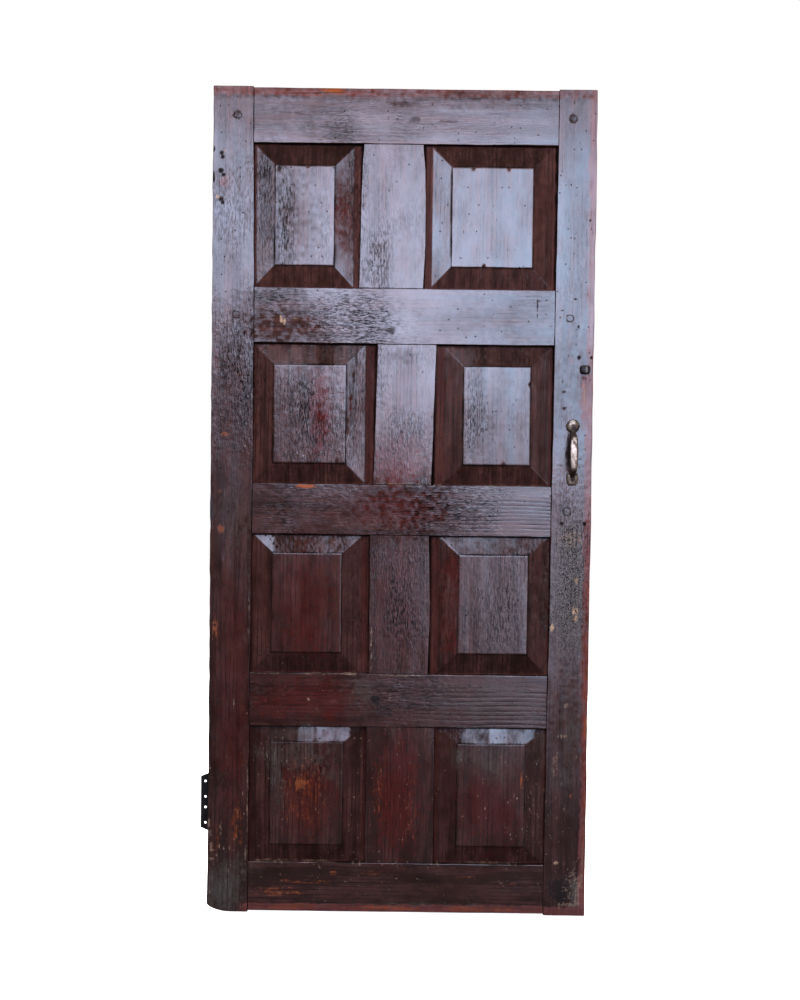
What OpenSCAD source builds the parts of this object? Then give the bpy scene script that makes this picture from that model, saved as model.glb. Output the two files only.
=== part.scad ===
// Panelled door leaf of joined softwood: two stiles, five rails, four muntins and
// eight raised and fielded panels, with a bow pull, an iron stud and an iron butt hinge.
// Millimetres. The leaf stands in the X-Z plane, its front looks along -Y and +Z is up.
// The origin is the middle of the screw holes in the hinge's free leaf, on the face that
// bears on the door frame.

/* [Leaf] */
// Width over both stiles
door_w = 914; // [838:1:1000]
// Height of the stiles
door_h = 1981; // [1930:1:2134]
// Thickness of the framing
door_t = 44; // [40:1:54]
// Face width of each stile
stile_w = 97; // [85:1:115]
// Height of the stiles above the top rail
horn_top = 3; // [0:0.5:10]
// Length of the stiles below the bottom rail
horn_foot = 4; // [0:0.5:10]
// Radius of the worn outer corner at the foot of the hinge stile
worn_foot_r = 20; // [5:1:40]

/* [Rails] */
// Face width of the top rail
top_rail_w = 130; // [110:1:150]
// Face width of the upper rail
upper_rail_w = 132; // [110:1:150]
// Face width of the lock rail
lock_rail_w = 121; // [105:1:150]
// Face width of the lower rail
lower_rail_w = 128; // [110:1:150]
// Face width of the bottom rail
bottom_rail_w = 119; // [105:1:150]
// Share of the first row of panels in the height left between the rails
row_1_share = 342; // [300:1:370]
// Share of the second row of panels
row_2_share = 336; // [300:1:370]
// Share of the third row of panels
row_3_share = 335; // [300:1:370]
// Share of the fourth row of panels
row_4_share = 331; // [300:1:370]

/* [Muntins] */
// Face width of the muntin in the first row
muntin_1_w = 153; // [110:1:175]
// Face width of the muntin in the second row
muntin_2_w = 143; // [110:1:175]
// Face width of the muntin in the third row
muntin_3_w = 146; // [110:1:175]
// Face width of the muntin in the fourth row
muntin_4_w = 165; // [110:1:175]
// Sideways place of the first muntin, from the middle of the leaf
muntin_1_off = -26.5; // [-35:0.5:35]
// Sideways place of the second muntin
muntin_2_off = 6.5; // [-35:0.5:35]
// Sideways place of the third muntin
muntin_3_off = 0; // [-35:0.5:35]
// Sideways place of the fourth muntin
muntin_4_off = 5.5; // [-35:0.5:35]

/* [Panels] */
// Depth of the raised field behind the front of the framing
field_drop = 3; // [1:0.5:5]
// Height of the square shoulder round the field
shoulder_h = 2.5; // [1:0.5:4]
// Face width of the sloping border
bevel_w = 47; // [30:1:55]
// Flat margin in sight beside a stile
stile_margin = 5; // [1:0.5:10]
// Flat margin in sight beside a rail
rail_margin = 3; // [1:0.5:10]
// Flat margin in sight beside the first muntin
muntin_1_margin = 16; // [1:0.5:24]
// Flat margin in sight beside the second muntin
muntin_2_margin = 22; // [1:0.5:24]
// Flat margin in sight beside the third muntin
muntin_3_margin = 20; // [1:0.5:24]
// Flat margin in sight beside the fourth muntin
muntin_4_margin = 8; // [1:0.5:24]

/* [Joints] */
// Depth of the panel groove in the framing
groove_d = 12; // [8:0.5:16]
// Width of the panel groove, and of the mortises in line with it
groove_w = 12; // [9:0.5:14]
// Front of the groove behind the front of the framing
groove_at = 14; // [12:0.5:18]
// Room left for the panel to swell at the bottom of the groove
tongue_play = 2; // [1:0.5:4]
// Clearance of the panel tongue on each face
tongue_fit = 0.3; // [0.1:0.1:1]
// Wood left between a groove and the tenon next to it
haunch = 4; // [2:0.5:8]
// Wood left above the top tenon and below the bottom tenon
end_haunch = 30; // [20:1:45]
// Clearance of a tenon in its mortise on each face
tenon_fit = 0.15; // [0.05:0.05:0.4]
// Length of the stub tenons of the muntins
stub_l = 30; // [20:1:42]
// Room left at the end of a stub tenon
stub_play = 1; // [0.5:0.5:3]
// Diameter of the pegs that lock the tenons
peg_d = 20; // [12:0.5:26]
// Peg centres in from the outer edge of the stile
peg_in = 58; // [40:1:65]
// Clearance round a peg
peg_fit = 0.1; // [0.05:0.05:0.3]

/* [Hinge] */
// Height of the hinge's middle above the foot
hinge_at = 256; // [180:1:360]
// Length of the barrel
barrel_l = 148; // [120:1:170]
// Length of the leaves at their outer edges
leaf_tip_l = 126; // [116:1:146]
// Width of a leaf from the pin's axis
leaf_w = 32.5; // [30:0.5:40]
// How far the free leaf stands past the edge of the stile
leaf_show = 23.5; // [19:0.5:25]
// Thickness of the leaves
leaf_t = 3; // [2:0.1:3.5]
// Clearance of the free leaf from the wood
leaf_clear = 0.3; // [0.2:0.1:0.6]
// Outer radius of the barrel
knuckle_r = 6; // [5:0.1:7.5]
// Clearance between knuckles, and from the barrel to the wood
knuckle_gap = 0.4; // [0.3:0.1:0.8]
// Radius of the pin
pin_r = 3; // [2:0.1:3.5]
// Running clearance of the pin in the knuckles
pin_fit = 0.05; // [0.02:0.01:0.1]
// Screw holes in from the outer edge of a leaf
hole_in = 11.5; // [8:0.5:13]
// Radius of the screw holes
hole_r = 2.75; // [2:0.05:3]
// Radius of the countersinks
sink_r = 4.5; // [4:0.1:5.5]
// Height of the outer screw holes from the hinge's middle
hole_out = 51; // [40:0.5:53]
// Height of the inner screw holes from the hinge's middle
hole_mid = 13; // [8:0.5:25]
// Length of the hinge screws in the wood
hinge_screw_l = 25; // [15:1:32]

/* [Pull and stud] */
// Pull's middle line in from the lock edge
pull_in = 47.5; // [35:0.5:60]
// Pull's lower screw above the upper edge of the lock rail
pull_up = 18; // [0:1:60]
// Distance between the pull's two screws
pull_span = 127; // [110:1:150]
// Radius of the round boss at the top
boss_r = 16; // [13:0.5:19]
// Thickness of the boss and of the pad
boss_t = 9; // [7:0.5:12]
// Width of the pad at the bottom
pad_w = 29; // [24:0.5:34]
// Height of the pad at the bottom
pad_h = 32; // [26:0.5:38]
// Width of the bow
bow_w = 19; // [15:0.5:23]
// Thickness of the bow
bow_t = 11; // [8:0.5:14]
// Rise of the bow's middle line over its ends
bow_rise = 32; // [26:0.5:40]
// Depth of the bow's lower end below the top of the pad
bow_sink = 5; // [3:0.5:8]
// Length of the pull's screws in the wood
pull_screw_l = 28; // [18:1:38]
// Stud's centre in from the lock edge
stud_in = 21; // [18:0.5:35]
// Stud's centre below the lower edge of the upper rail
stud_down = 56; // [30:1:80]
// Radius of the stud's head
stud_r = 12.5; // [9:0.5:15]
// Height of the stud's head
stud_h = 10; // [7:0.5:14]

/* [Hidden] */
$fn = 64;
eps = 0.5;
skim = 0.01;
TOP = 0;
UPPER = 1;
MIDDLE = 2;
BOTTOM = 4;
HINGE = 0;
LOCK = 1;
WOOD = [0.31, 0.23, 0.23];
FIELD = [0.42, 0.38, 0.43];
PEG = [0.36, 0.33, 0.34];
IRON = [0.09, 0.08, 0.08];
BRASS = [0.62, 0.52, 0.36];

rail_ws = [top_rail_w, upper_rail_w, lock_rail_w, lower_rail_w, bottom_rail_w];
rails_h = top_rail_w + upper_rail_w + lock_rail_w + lower_rail_w + bottom_rail_w;
rows_h = door_h - horn_top - horn_foot - rails_h;
row_shares = [row_1_share, row_2_share, row_3_share, row_4_share];
row_hs = [for (share = row_shares) rows_h * share / (row_shares * [1, 1, 1, 1])];
muntin_ws = [muntin_1_w, muntin_2_w, muntin_3_w, muntin_4_w];
muntin_offs = [muntin_1_off, muntin_2_off, muntin_3_off, muntin_4_off];
muntin_margins = [muntin_1_margin, muntin_2_margin, muntin_3_margin, muntin_4_margin];

function run(v, n) = n <= 0 ? 0 : v[n - 1] + run(v, n - 1);
function rail_hi(i) = door_h - horn_top - run(rail_ws, i) - run(row_hs, i);
function rail_lo(i) = rail_hi(i) - rail_ws[i];
function rail_mid(i) = (rail_hi(i) + rail_lo(i)) / 2;
function row_hi(i) = rail_lo(i);
function row_lo(i) = rail_hi(i + 1);
function muntin_x(i, side) = door_w / 2 + muntin_offs[i] + (side == HINGE ? -1 : 1) * muntin_ws[i] / 2;
function sight_x0(i, side) = side == HINGE ? stile_w : muntin_x(i, LOCK);
function sight_x1(i, side) = side == HINGE ? muntin_x(i, HINGE) : door_w - stile_w;
function margin(i, edge, side) = edge == side ? stile_margin : muntin_margins[i];
function tenon_lo(i) = rail_lo(i) + (i == BOTTOM ? end_haunch : groove_d + haunch);
function tenon_hi(i) = rail_hi(i) - (i == TOP ? end_haunch : groove_d + haunch);

panel_face = groove_at + tongue_fit;
panel_back = groove_at + groove_w - tongue_fit;
field_foot = field_drop + shoulder_h;

axis_x = leaf_w - leaf_show;
axis_y = door_t + knuckle_r + knuckle_gap;
knuckles = 5;
knuckle_l = barrel_l / knuckles;
hole_x = leaf_w - hole_in;
hole_zs = [-hole_out, -hole_mid, hole_mid, hole_out];
sink_d = sink_r - hole_r;
screw_fit = 0.05;
slot_d = 1.2;
slot_w = 1;

pull_x = door_w - pull_in;
pull_lo = rail_hi(MIDDLE) + pull_up;
pull_hi = pull_lo + pull_span;
bow_hi = pull_hi - boss_r;
bow_lo = pull_lo + pad_h / 2 - bow_sink;
bow_c = (bow_hi - bow_lo) / 2;
bow_R = bow_c * bow_c / (2 * bow_rise) + bow_rise / 2;
bow_a = asin(bow_c / bow_R);
bow_y = -boss_t * 2 / 3;
stud_x = door_w - stud_in;
stud_at = rail_lo(UPPER) - stud_down;
stud_shank_r = stud_r * 0.4;
stud_shank_l = door_t * 0.7;

// Moves a piece from the leaf's own corner to the stated origin
module placed(c) {
    color(c)
        translate([leaf_show - hole_in, -door_t - leaf_clear, -hinge_at])
            children();
}

// A cylinder that runs back along +Y from the point given
module along_y(x, y, z, r, l, r2 = -1) {
    translate([x, y, z])
        rotate([-90, 0, 0])
            cylinder(r1 = r, r2 = r2 < 0 ? r : r2, h = l);
}

// The groove space round one panel
module pocket(i, side) {
    x0 = sight_x0(i, side) - groove_d;
    x1 = sight_x1(i, side) + groove_d;
    z0 = row_lo(i) - groove_d;
    z1 = row_hi(i) + groove_d;
    translate([x0, groove_at, z0])
        cube([x1 - x0, groove_w, z1 - z0]);
}

// Full length of a rail with its through tenons, or the mortises for it when grown
module tenon_bar(i, grow, over) {
    translate([-over, groove_at + tenon_fit - grow, tenon_lo(i) - grow])
        cube([door_w + 2 * over, groove_w - 2 * tenon_fit + 2 * grow,
              tenon_hi(i) - tenon_lo(i) + 2 * grow]);
}

// Height of a muntin with its stub tenons, or the mortises for it when grown
module stub_bar(i, grow, over) {
    x0 = muntin_x(i, HINGE) + groove_d + haunch;
    x1 = muntin_x(i, LOCK) - groove_d - haunch;
    z0 = row_lo(i) - stub_l - over;
    z1 = row_hi(i) + stub_l + over;
    translate([x0 - grow, groove_at + tenon_fit - grow, z0])
        cube([x1 - x0 + 2 * grow, groove_w - 2 * tenon_fit + 2 * grow, z1 - z0]);
}

module peg_holes(i) {
    for (x = [peg_in, door_w - peg_in])
        along_y(x, -eps, rail_mid(i), peg_d / 2 + peg_fit, door_t + 2 * eps);
}

// Stile from its hinge-side edge, less grooves, mortises and peg holes
module stile(x, side) {
    difference() {
        translate([x, 0, 0])
            cube([stile_w, door_t, door_h]);
        for (i = [0:3])
            pocket(i, side);
        for (i = [0:4]) {
            tenon_bar(i, tenon_fit, eps);
            peg_holes(i);
        }
    }
}

module hinge_stile() {
    placed(WOOD)
        difference() {
            stile(0, HINGE);
            difference() {
                translate([-eps, -eps, -eps])
                    cube([worn_foot_r + eps, door_t + 2 * eps, worn_foot_r + eps]);
                along_y(worn_foot_r, -2 * eps, worn_foot_r, worn_foot_r, door_t + 4 * eps);
            }
            for (z = hole_zs)
                along_y(axis_x + hole_x, door_t - hinge_screw_l - eps, hinge_at + z,
                        hole_r - screw_fit, hinge_screw_l + 2 * eps);
        }
}

module lock_stile() {
    placed(WOOD)
        difference() {
            stile(door_w - stile_w, LOCK);
            for (z = [pull_lo, pull_hi])
                along_y(pull_x, -eps, z, hole_r - screw_fit, pull_screw_l + 2 * eps);
            along_y(stud_x, -eps, stud_at, stud_shank_r + screw_fit, stud_shank_l + 2 * eps);
        }
}

module rail(i) {
    placed(WOOD)
        difference() {
            union() {
                translate([stile_w, 0, rail_lo(i)])
                    cube([door_w - 2 * stile_w, door_t, rail_ws[i]]);
                tenon_bar(i, 0, 0);
            }
            for (row = [max(0, i - 1):min(3, i)]) {
                pocket(row, HINGE);
                pocket(row, LOCK);
                stub_bar(row, tenon_fit, stub_play);
            }
            peg_holes(i);
        }
}

module muntin(i) {
    placed(WOOD)
        difference() {
            union() {
                translate([muntin_x(i, HINGE), 0, row_lo(i)])
                    cube([muntin_ws[i], door_t, row_hs[i]]);
                stub_bar(i, 0, 0);
            }
            pocket(i, HINGE);
            pocket(i, LOCK);
        }
}

// Section of a panel across one direction: tongue, flat margin, slope, shoulder and field
module panel_section(lo, hi, margin_lo, margin_hi) {
    out = groove_d - tongue_play;
    b0 = lo + margin_lo;
    b1 = hi - margin_hi;
    polygon([[lo - out, panel_back], [hi + out, panel_back], [hi + out, panel_face],
             [b1, panel_face], [b1 - bevel_w, field_foot], [b1 - bevel_w, field_drop],
             [b0 + bevel_w, field_drop], [b0 + bevel_w, field_foot], [b0, panel_face],
             [lo - out, panel_face]]);
}

// Raised and fielded panel: the slopes cut both ways meet in mitres at the corners
module panel(i, side) {
    x0 = sight_x0(i, side);
    x1 = sight_x1(i, side);
    z0 = row_lo(i) - groove_d;
    placed(FIELD)
        intersection() {
            translate([0, 0, z0])
                linear_extrude(height = row_hs[i] + 2 * groove_d)
                    panel_section(x0, x1, margin(i, HINGE, side), margin(i, LOCK, side));
            translate([x1 + groove_d, 0, 0])
                rotate([0, -90, 0])
                    linear_extrude(height = x1 - x0 + 2 * groove_d)
                        panel_section(row_lo(i), row_hi(i), rail_margin, rail_margin);
        }
}

module top_rail() {
    rail(TOP);
}

module upper_rail() {
    rail(1);
}

module lock_rail() {
    rail(2);
}

module lower_rail() {
    rail(3);
}

module bottom_rail() {
    rail(BOTTOM);
}

module muntin_1() {
    muntin(0);
}

module muntin_2() {
    muntin(1);
}

module muntin_3() {
    muntin(2);
}

module muntin_4() {
    muntin(3);
}

module panel_1_hinge() {
    panel(0, HINGE);
}

module panel_1_lock() {
    panel(0, LOCK);
}

module panel_2_hinge() {
    panel(1, HINGE);
}

module panel_2_lock() {
    panel(1, LOCK);
}

module panel_3_hinge() {
    panel(2, HINGE);
}

module panel_3_lock() {
    panel(2, LOCK);
}

module panel_4_hinge() {
    panel(3, HINGE);
}

module panel_4_lock() {
    panel(3, LOCK);
}

module tenon_pegs() {
    placed(PEG)
        for (i = [0:4], x = [peg_in, door_w - peg_in])
            along_y(x, 0, rail_mid(i), peg_d / 2, door_t);
}

// Hinge leaf: a plate that narrows to its outer edge, with every other knuckle of the barrel
module hinge_leaf(dir, first, y0) {
    z0 = hinge_at - barrel_l / 2;
    flat_y = door_t + leaf_t;
    difference() {
        union() {
            translate([axis_x, flat_y, hinge_at])
                rotate([90, 0, 0])
                    linear_extrude(height = flat_y - y0)
                        polygon([[0, -barrel_l / 2], [dir * knuckle_r, -barrel_l / 2],
                                 [dir * leaf_w, -leaf_tip_l / 2], [dir * leaf_w, leaf_tip_l / 2],
                                 [dir * knuckle_r, barrel_l / 2], [0, barrel_l / 2]]);
            for (k = [first:2:knuckles - 1])
                translate([axis_x, axis_y, z0 + k * knuckle_l])
                    cylinder(r = knuckle_r, h = knuckle_l);
        }
        translate([axis_x, axis_y, z0 - eps])
            cylinder(r = pin_r + pin_fit, h = barrel_l + 2 * eps);
        for (k = [1 - first:2:knuckles - 1])
            translate([axis_x, axis_y, z0 + k * knuckle_l])
                knuckle_room();
        for (z = hole_zs) {
            along_y(axis_x + dir * hole_x, y0 - eps, hinge_at + z, hole_r, leaf_t + 2 * eps);
            along_y(axis_x + dir * hole_x, flat_y - sink_d, hinge_at + z,
                    hole_r, sink_d + skim, sink_r + skim);
        }
    }
}

// Room cut for a knuckle of the other leaf
module knuckle_room() {
    w = 2 * (knuckle_r + knuckle_gap);
    g = knuckle_gap / 2;
    translate([-w / 2, -w / 2 - eps, -g])
        cube([w, w + 2 * eps, knuckle_l + 2 * g]);
}

module hinge_door_leaf() {
    placed(IRON)
        hinge_leaf(1, 1, door_t);
}

module hinge_frame_leaf() {
    placed(IRON)
        hinge_leaf(-1, 0, door_t + leaf_clear);
}

// Pin with a flat button head at both ends of the barrel
module hinge_pin() {
    z0 = hinge_at - barrel_l / 2;
    head_h = pin_r;
    head_r = (pin_r + knuckle_r) / 2;
    placed(IRON)
        translate([axis_x, axis_y, z0]) {
            cylinder(r = pin_r, h = barrel_l);
            translate([0, 0, -head_h])
                cylinder(r1 = pin_r, r2 = head_r, h = head_h);
            translate([0, 0, barrel_l])
                cylinder(r1 = head_r, r2 = pin_r, h = head_h);
        }
}

// Slotted countersunk screw; its head faces back along +Y at the point given
module screw(x, y, z, sink, l) {
    difference() {
        union() {
            along_y(x, y - sink - l, z, hole_r - 2 * screw_fit, l + sink);
            along_y(x, y - sink, z, hole_r - 2 * screw_fit, sink, sink_r - 2 * screw_fit);
        }
        translate([x - sink_r, y - slot_d, z - slot_w / 2])
            cube([2 * sink_r, slot_d + eps, slot_w]);
    }
}

module hinge_screws() {
    placed(IRON)
        for (z = hole_zs)
            screw(axis_x + hole_x, door_t + leaf_t, hinge_at + z, sink_d, hinge_screw_l + leaf_t - sink_d);
}

// Cast pull: round boss, bow and square pad in one piece
module pull_handle() {
    corner = pad_w / 4;
    placed(BRASS)
        difference() {
            union() {
                along_y(pull_x, -boss_t, pull_hi, boss_r * 0.7, boss_t * 0.6, boss_r);
                along_y(pull_x, -boss_t * 0.4, pull_hi, boss_r, boss_t * 0.4);
                translate([pull_x, 0, pull_lo])
                    rotate([90, 0, 0])
                        linear_extrude(height = boss_t)
                            polygon([[-pad_w / 2 + corner, -pad_h / 2], [pad_w / 2 - corner, -pad_h / 2],
                                     [pad_w / 2, -pad_h / 2 + corner], [pad_w / 2, pad_h / 2 - corner],
                                     [pad_w / 2 - corner, pad_h / 2], [-pad_w / 2 + corner, pad_h / 2],
                                     [-pad_w / 2, pad_h / 2 - corner], [-pad_w / 2, -pad_h / 2 + corner]]);
                translate([pull_x, bow_y - bow_rise + bow_R, (bow_hi + bow_lo) / 2])
                    rotate([0, 90, 0])
                        rotate([0, 0, 270 - bow_a])
                            rotate_extrude(angle = 2 * bow_a)
                                translate([bow_R, 0])
                                    scale([bow_t / 2, bow_w / 2])
                                        circle(r = 1);
            }
            translate([pull_x - pad_w, 0, pull_lo - pad_h])
                cube([2 * pad_w, bow_R, pull_span + 2 * pad_h]);
            for (z = [pull_lo, pull_hi]) {
                along_y(pull_x, -boss_t - bow_t, z, hole_r, boss_t + bow_t + eps);
                along_y(pull_x, -boss_t - bow_t, z, sink_r, bow_t);
                along_y(pull_x, -boss_t - 0.01, z, sink_r + 0.01, sink_d + 0.01, hole_r);
            }
        }
}

module pull_screws() {
    placed(BRASS)
        for (z = [pull_lo, pull_hi])
            translate([2 * pull_x, 0, 0])
                rotate([0, 0, 180])
                    screw(pull_x, boss_t, z, sink_d, pull_screw_l + boss_t - sink_d);
}

// Round-headed iron stud driven into the lock stile
module iron_stud() {
    placed(IRON)
        translate([stud_x, 0, stud_at])
            rotate([90, 0, 0]) {
                cylinder(r = stud_r, h = stud_h * 0.6);
                translate([0, 0, stud_h * 0.6])
                    cylinder(r1 = stud_r, r2 = stud_r * 0.6, h = stud_h * 0.4);
                translate([0, 0, -stud_shank_l])
                    cylinder(r = stud_shank_r, h = stud_shank_l);
            }
}

hinge_stile();
lock_stile();
top_rail();
upper_rail();
lock_rail();
lower_rail();
bottom_rail();
muntin_1();
muntin_2();
muntin_3();
muntin_4();
panel_1_hinge();
panel_1_lock();
panel_2_hinge();
panel_2_lock();
panel_3_hinge();
panel_3_lock();
panel_4_hinge();
panel_4_lock();
tenon_pegs();
hinge_door_leaf();
hinge_frame_leaf();
hinge_pin();
hinge_screws();
pull_handle();
pull_screws();
iron_stud();
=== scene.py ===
"""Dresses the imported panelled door: worn varnished wood, black iron hinge and stud, brass bow pull."""

import math

import bpy
import numpy as np
from mathutils import Matrix, Vector


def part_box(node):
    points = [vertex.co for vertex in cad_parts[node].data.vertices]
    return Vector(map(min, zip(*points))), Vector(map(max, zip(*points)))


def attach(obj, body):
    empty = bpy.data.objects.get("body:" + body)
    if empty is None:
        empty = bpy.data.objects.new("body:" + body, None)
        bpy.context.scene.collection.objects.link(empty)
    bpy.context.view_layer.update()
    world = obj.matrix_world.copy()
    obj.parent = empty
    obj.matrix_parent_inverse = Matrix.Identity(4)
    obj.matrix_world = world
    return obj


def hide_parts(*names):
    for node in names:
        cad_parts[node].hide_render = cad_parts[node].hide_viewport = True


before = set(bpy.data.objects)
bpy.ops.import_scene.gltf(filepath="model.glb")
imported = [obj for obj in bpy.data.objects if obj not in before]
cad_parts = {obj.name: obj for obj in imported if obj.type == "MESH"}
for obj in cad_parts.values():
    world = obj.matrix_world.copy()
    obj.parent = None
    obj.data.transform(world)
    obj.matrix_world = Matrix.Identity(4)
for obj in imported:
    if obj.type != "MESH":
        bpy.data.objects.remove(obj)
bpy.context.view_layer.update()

bl_info = {
    "name": "Panelled front door",
    "version": (1, 0, 0),
    "blender": (4, 5, 0),
    "location": "View3D > Sidebar > Door",
    "description": "Builds the worn wood, iron and brass of a panelled front door on its packed model",
    "category": "Object",
}

MM = 0.001
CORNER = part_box("hinge_stile")[0]
HEIGHT = (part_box("hinge_stile")[1].z - CORNER.z) / MM
WIDTH = (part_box("lock_stile")[1].x - CORNER.x) / MM
THICK = (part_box("lock_stile")[1].y - CORNER.y) / MM
RAILS = ("top_rail", "upper_rail", "lock_rail", "lower_rail", "bottom_rail")
# Edges that turn by more than this stay sharp
SHARP = math.radians(32)
PEG_RADIUS = 10
# Pegs that varnish covers, by their order in peg_places, its thickness, and the dullness of the others
COVERED_PEGS, COVER = (4, 6, 7, 8, 9), 1.5
PEG_DULL = {0: 0.75, 1: 0.7, 2: 0.45, 3: 0.2, 5: 0.1}


def linear(code):
    """An sRGB hex code as linear red, green, blue and alpha."""
    parts = [int(code[i:i + 2], 16) / 255 for i in (1, 3, 5)]
    return tuple(c / 12.92 if c <= 0.04045 else ((c + 0.055) / 1.055) ** 2.4 for c in parts) + (1.0,)


def length_property(name, size, least, description):
    """A length for a property group, given in millimetres."""
    return bpy.props.FloatProperty(
        name=name, description=description, default=size * MM, min=least * MM, unit="LENGTH")


def colour_property(name, code, description):
    """A colour for a property group, given as an sRGB hex code."""
    return bpy.props.FloatVectorProperty(
        name=name, description=description, default=linear(code), min=0, max=1, size=4, subtype="COLOR")


def power_property(name, watts, description):
    """The power of a lamp for a property group."""
    return bpy.props.FloatProperty(name=name, description=description, default=watts, min=0.0, unit="POWER")


class DoorWoodSizes(bpy.types.PropertyGroup):
    """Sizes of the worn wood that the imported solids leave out."""

    pitch: length_property("Mesh pitch", 3, 1, "Spacing of the points on the front faces")
    arris: length_property("Worn arris", 1.3, 0.2, "Radius that wear has given the edges of the framing")
    joint: length_property("Joint line", 0.5, 0, "Width of the open line between stiles, rails and muntins")
    relief: length_property("Plane marks", 0.22, 0, "Depth of the waves that hand planing left in the faces")
    bevel: length_property("Panel slope", 47, 10, "Width of the sloping border of a panel")
    field_drop: length_property("Field depth", 3, 0, "Panel field below the face of the framing")
    shoulder: length_property("Field shoulder", 2.5, 0.5, "Height of the step round a panel field")
    tongue: length_property("Panel edge depth", 14.3, 5, "Flat edge of a panel below the framing's face")


class DoorFinishes(bpy.types.PropertyGroup):
    """Colours of the varnish, the wear and the metals."""

    dark: colour_property("Dark varnish", "#2e1c1a", "Varnish over the dense summer growth")
    warm: colour_property("Warm varnish", "#3e2624", "Varnish over the pale spring growth")
    red: colour_property("Red stain", "#4e1815", "Stain that shows where the varnish is thin")
    haze: colour_property("Bloomed varnish", "#4b4642", "Grey film on old varnish")
    # This black also paints shade: the shadows in panel recesses and steps, the shade on panel slopes and
    # the bow pull's shadow.
    soil_and_shade: colour_property("Soil", "#0e0908", "Black dirt in joints and hollows")
    primer: colour_property("Pink primer", "#623431", "Old primer where the stops covered the edges")
    bare: colour_property("Bare wood", "#8a451a", "Orange resinous wood where the varnish has gone")
    chip_and_glint: colour_property("Fresh chip", "#b0957f", "Pale wood in chips and scuffs")
    # This pale colour is also used for the painted highlights along worn arrises.
    iron: colour_property("Black iron", "#1b1919", "Blacked wrought iron")
    # This colour also paints the highlights on the pull's boss and bow.
    brass: colour_property("Rubbed brass", "#a39483", "Brass rubbed bright by hands")
    tarnish: colour_property("Tarnish", "#2b1f18", "Brown-black tarnish in the hollows of the brass")


class DoorStage(bpy.types.PropertyGroup):
    """Light and floor round the door."""

    card: bpy.props.FloatProperty(
        name="Light card", description="Brightness of the large graded card that the varnish mirrors",
        default=8.5, min=0.0)
    fill: power_property("Fill light", 56.0, "Soft light in front, which the varnish doesn't mirror")
    top: power_property("Top light", 40.0, "Strip above, which shows only in the worn arrises")
    back: power_property("Back lights", 60.0, "Each soft light behind the door")
    edge: power_property("Edge lights", 170.0, "Each soft light beside and above the door, behind its front")
    lens: bpy.props.FloatProperty(
        name="Lens", description="Focal length of the camera, in millimetres on a 36 mm film",
        default=48.1, min=10.0)
    floor: colour_property("Floor", "#f6f6f6", "Colour of the pale floor")


# Mesh tools

def ripple(a, b, size_a, size_b, seed):
    """Smooth seeded noise from -1 to 1, in lumps of size_a by size_b."""
    rows, columns = 61, 67
    table = np.random.default_rng(seed).uniform(-1, 1, (rows, columns))
    u, v = np.asarray(a, float) / size_a, np.asarray(b, float) / size_b
    iu, iv = np.floor(u).astype(int), np.floor(v).astype(int)
    fu, fv = u - iu, v - iv
    fu, fv = fu * fu * (3 - 2 * fu), fv * fv * (3 - 2 * fv)

    def at(i, j):
        return table[(iu + i) % rows, (iv + j) % columns]

    low = at(0, 0) * (1 - fu) + at(1, 0) * fu
    high = at(0, 1) * (1 - fu) + at(1, 1) * fu
    return low * (1 - fv) + high * fv


def ramp(values, start, length):
    """Rises from 0 at the start to 1 a length further on; a negative length goes the other way."""
    return np.clip((values - start) / length, 0, 1)


def spaced(length, pitch):
    """Places along a length, closer together near both ends."""
    near = [0.0, 0.8, 2.0, 3.8, 6.2]
    if length < 4 * near[-1]:
        return np.linspace(0, length, max(4, int(length / pitch) + 1))
    count = max(2, int(round((length - 2 * near[-1]) / pitch)))
    middle = np.linspace(near[-1], length - near[-1], count + 1)[1:-1]
    return np.concatenate([near, middle, [length - n for n in near[::-1]]])


def ring_faces(count, around, first=0):
    """Quads between rings of points that follow each other."""
    k, i = np.meshgrid(np.arange(count - 1), np.arange(around), indexing="ij")
    j = (i + 1) % around
    near, far = k * around, (k + 1) * around
    quads = np.stack([near + i, near + j, far + j, far + i], -1)
    return (quads.reshape(-1, 4) + first).tolist()


def lofted(rings, first=0):
    """Points and faces of a closed form through rings of points."""
    around = len(rings[0])
    faces = ring_faces(len(rings), around, first)
    last = first + (len(rings) - 1) * around
    faces += [[first + i for i in range(around)][::-1], [last + i for i in range(around)]]
    return np.concatenate(rings), faces


def solid(name, points, faces, material, along, seed=0, paint=True):
    """A mesh piece from points in door millimetres, with its grain and its wear stored on the points."""
    points = np.asarray(points, float)
    mesh = bpy.data.meshes.new(name)
    place = points * MM + np.array(CORNER)
    mesh.from_pydata(place.tolist(), [], faces)
    mesh.update()
    mesh.polygons.foreach_set("use_smooth", [True] * len(mesh.polygons))
    mesh.set_sharp_from_angle(angle=SHARP)
    order = (0, 2, 1) if along == "x" else (2, 0, 1)
    shift = np.random.default_rng(seed + 7).uniform(0, 9, 3)
    grain = points[:, order] * MM + shift
    mesh.attributes.new("grain", "FLOAT_VECTOR", "POINT").data.foreach_set("vector", grain.ravel())
    if paint:
        amounts = layers_of(points)
        for label, layers in LAYERS.items():
            data = mesh.attributes.new(label, "FLOAT_COLOR", "POINT").data
            data.foreach_set("color", np.stack([amounts[n] for n in layers], -1).ravel())
    mesh.materials.append(material)
    piece = bpy.data.objects.new(name, mesh)
    bpy.context.scene.collection.objects.link(piece)
    return piece
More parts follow.
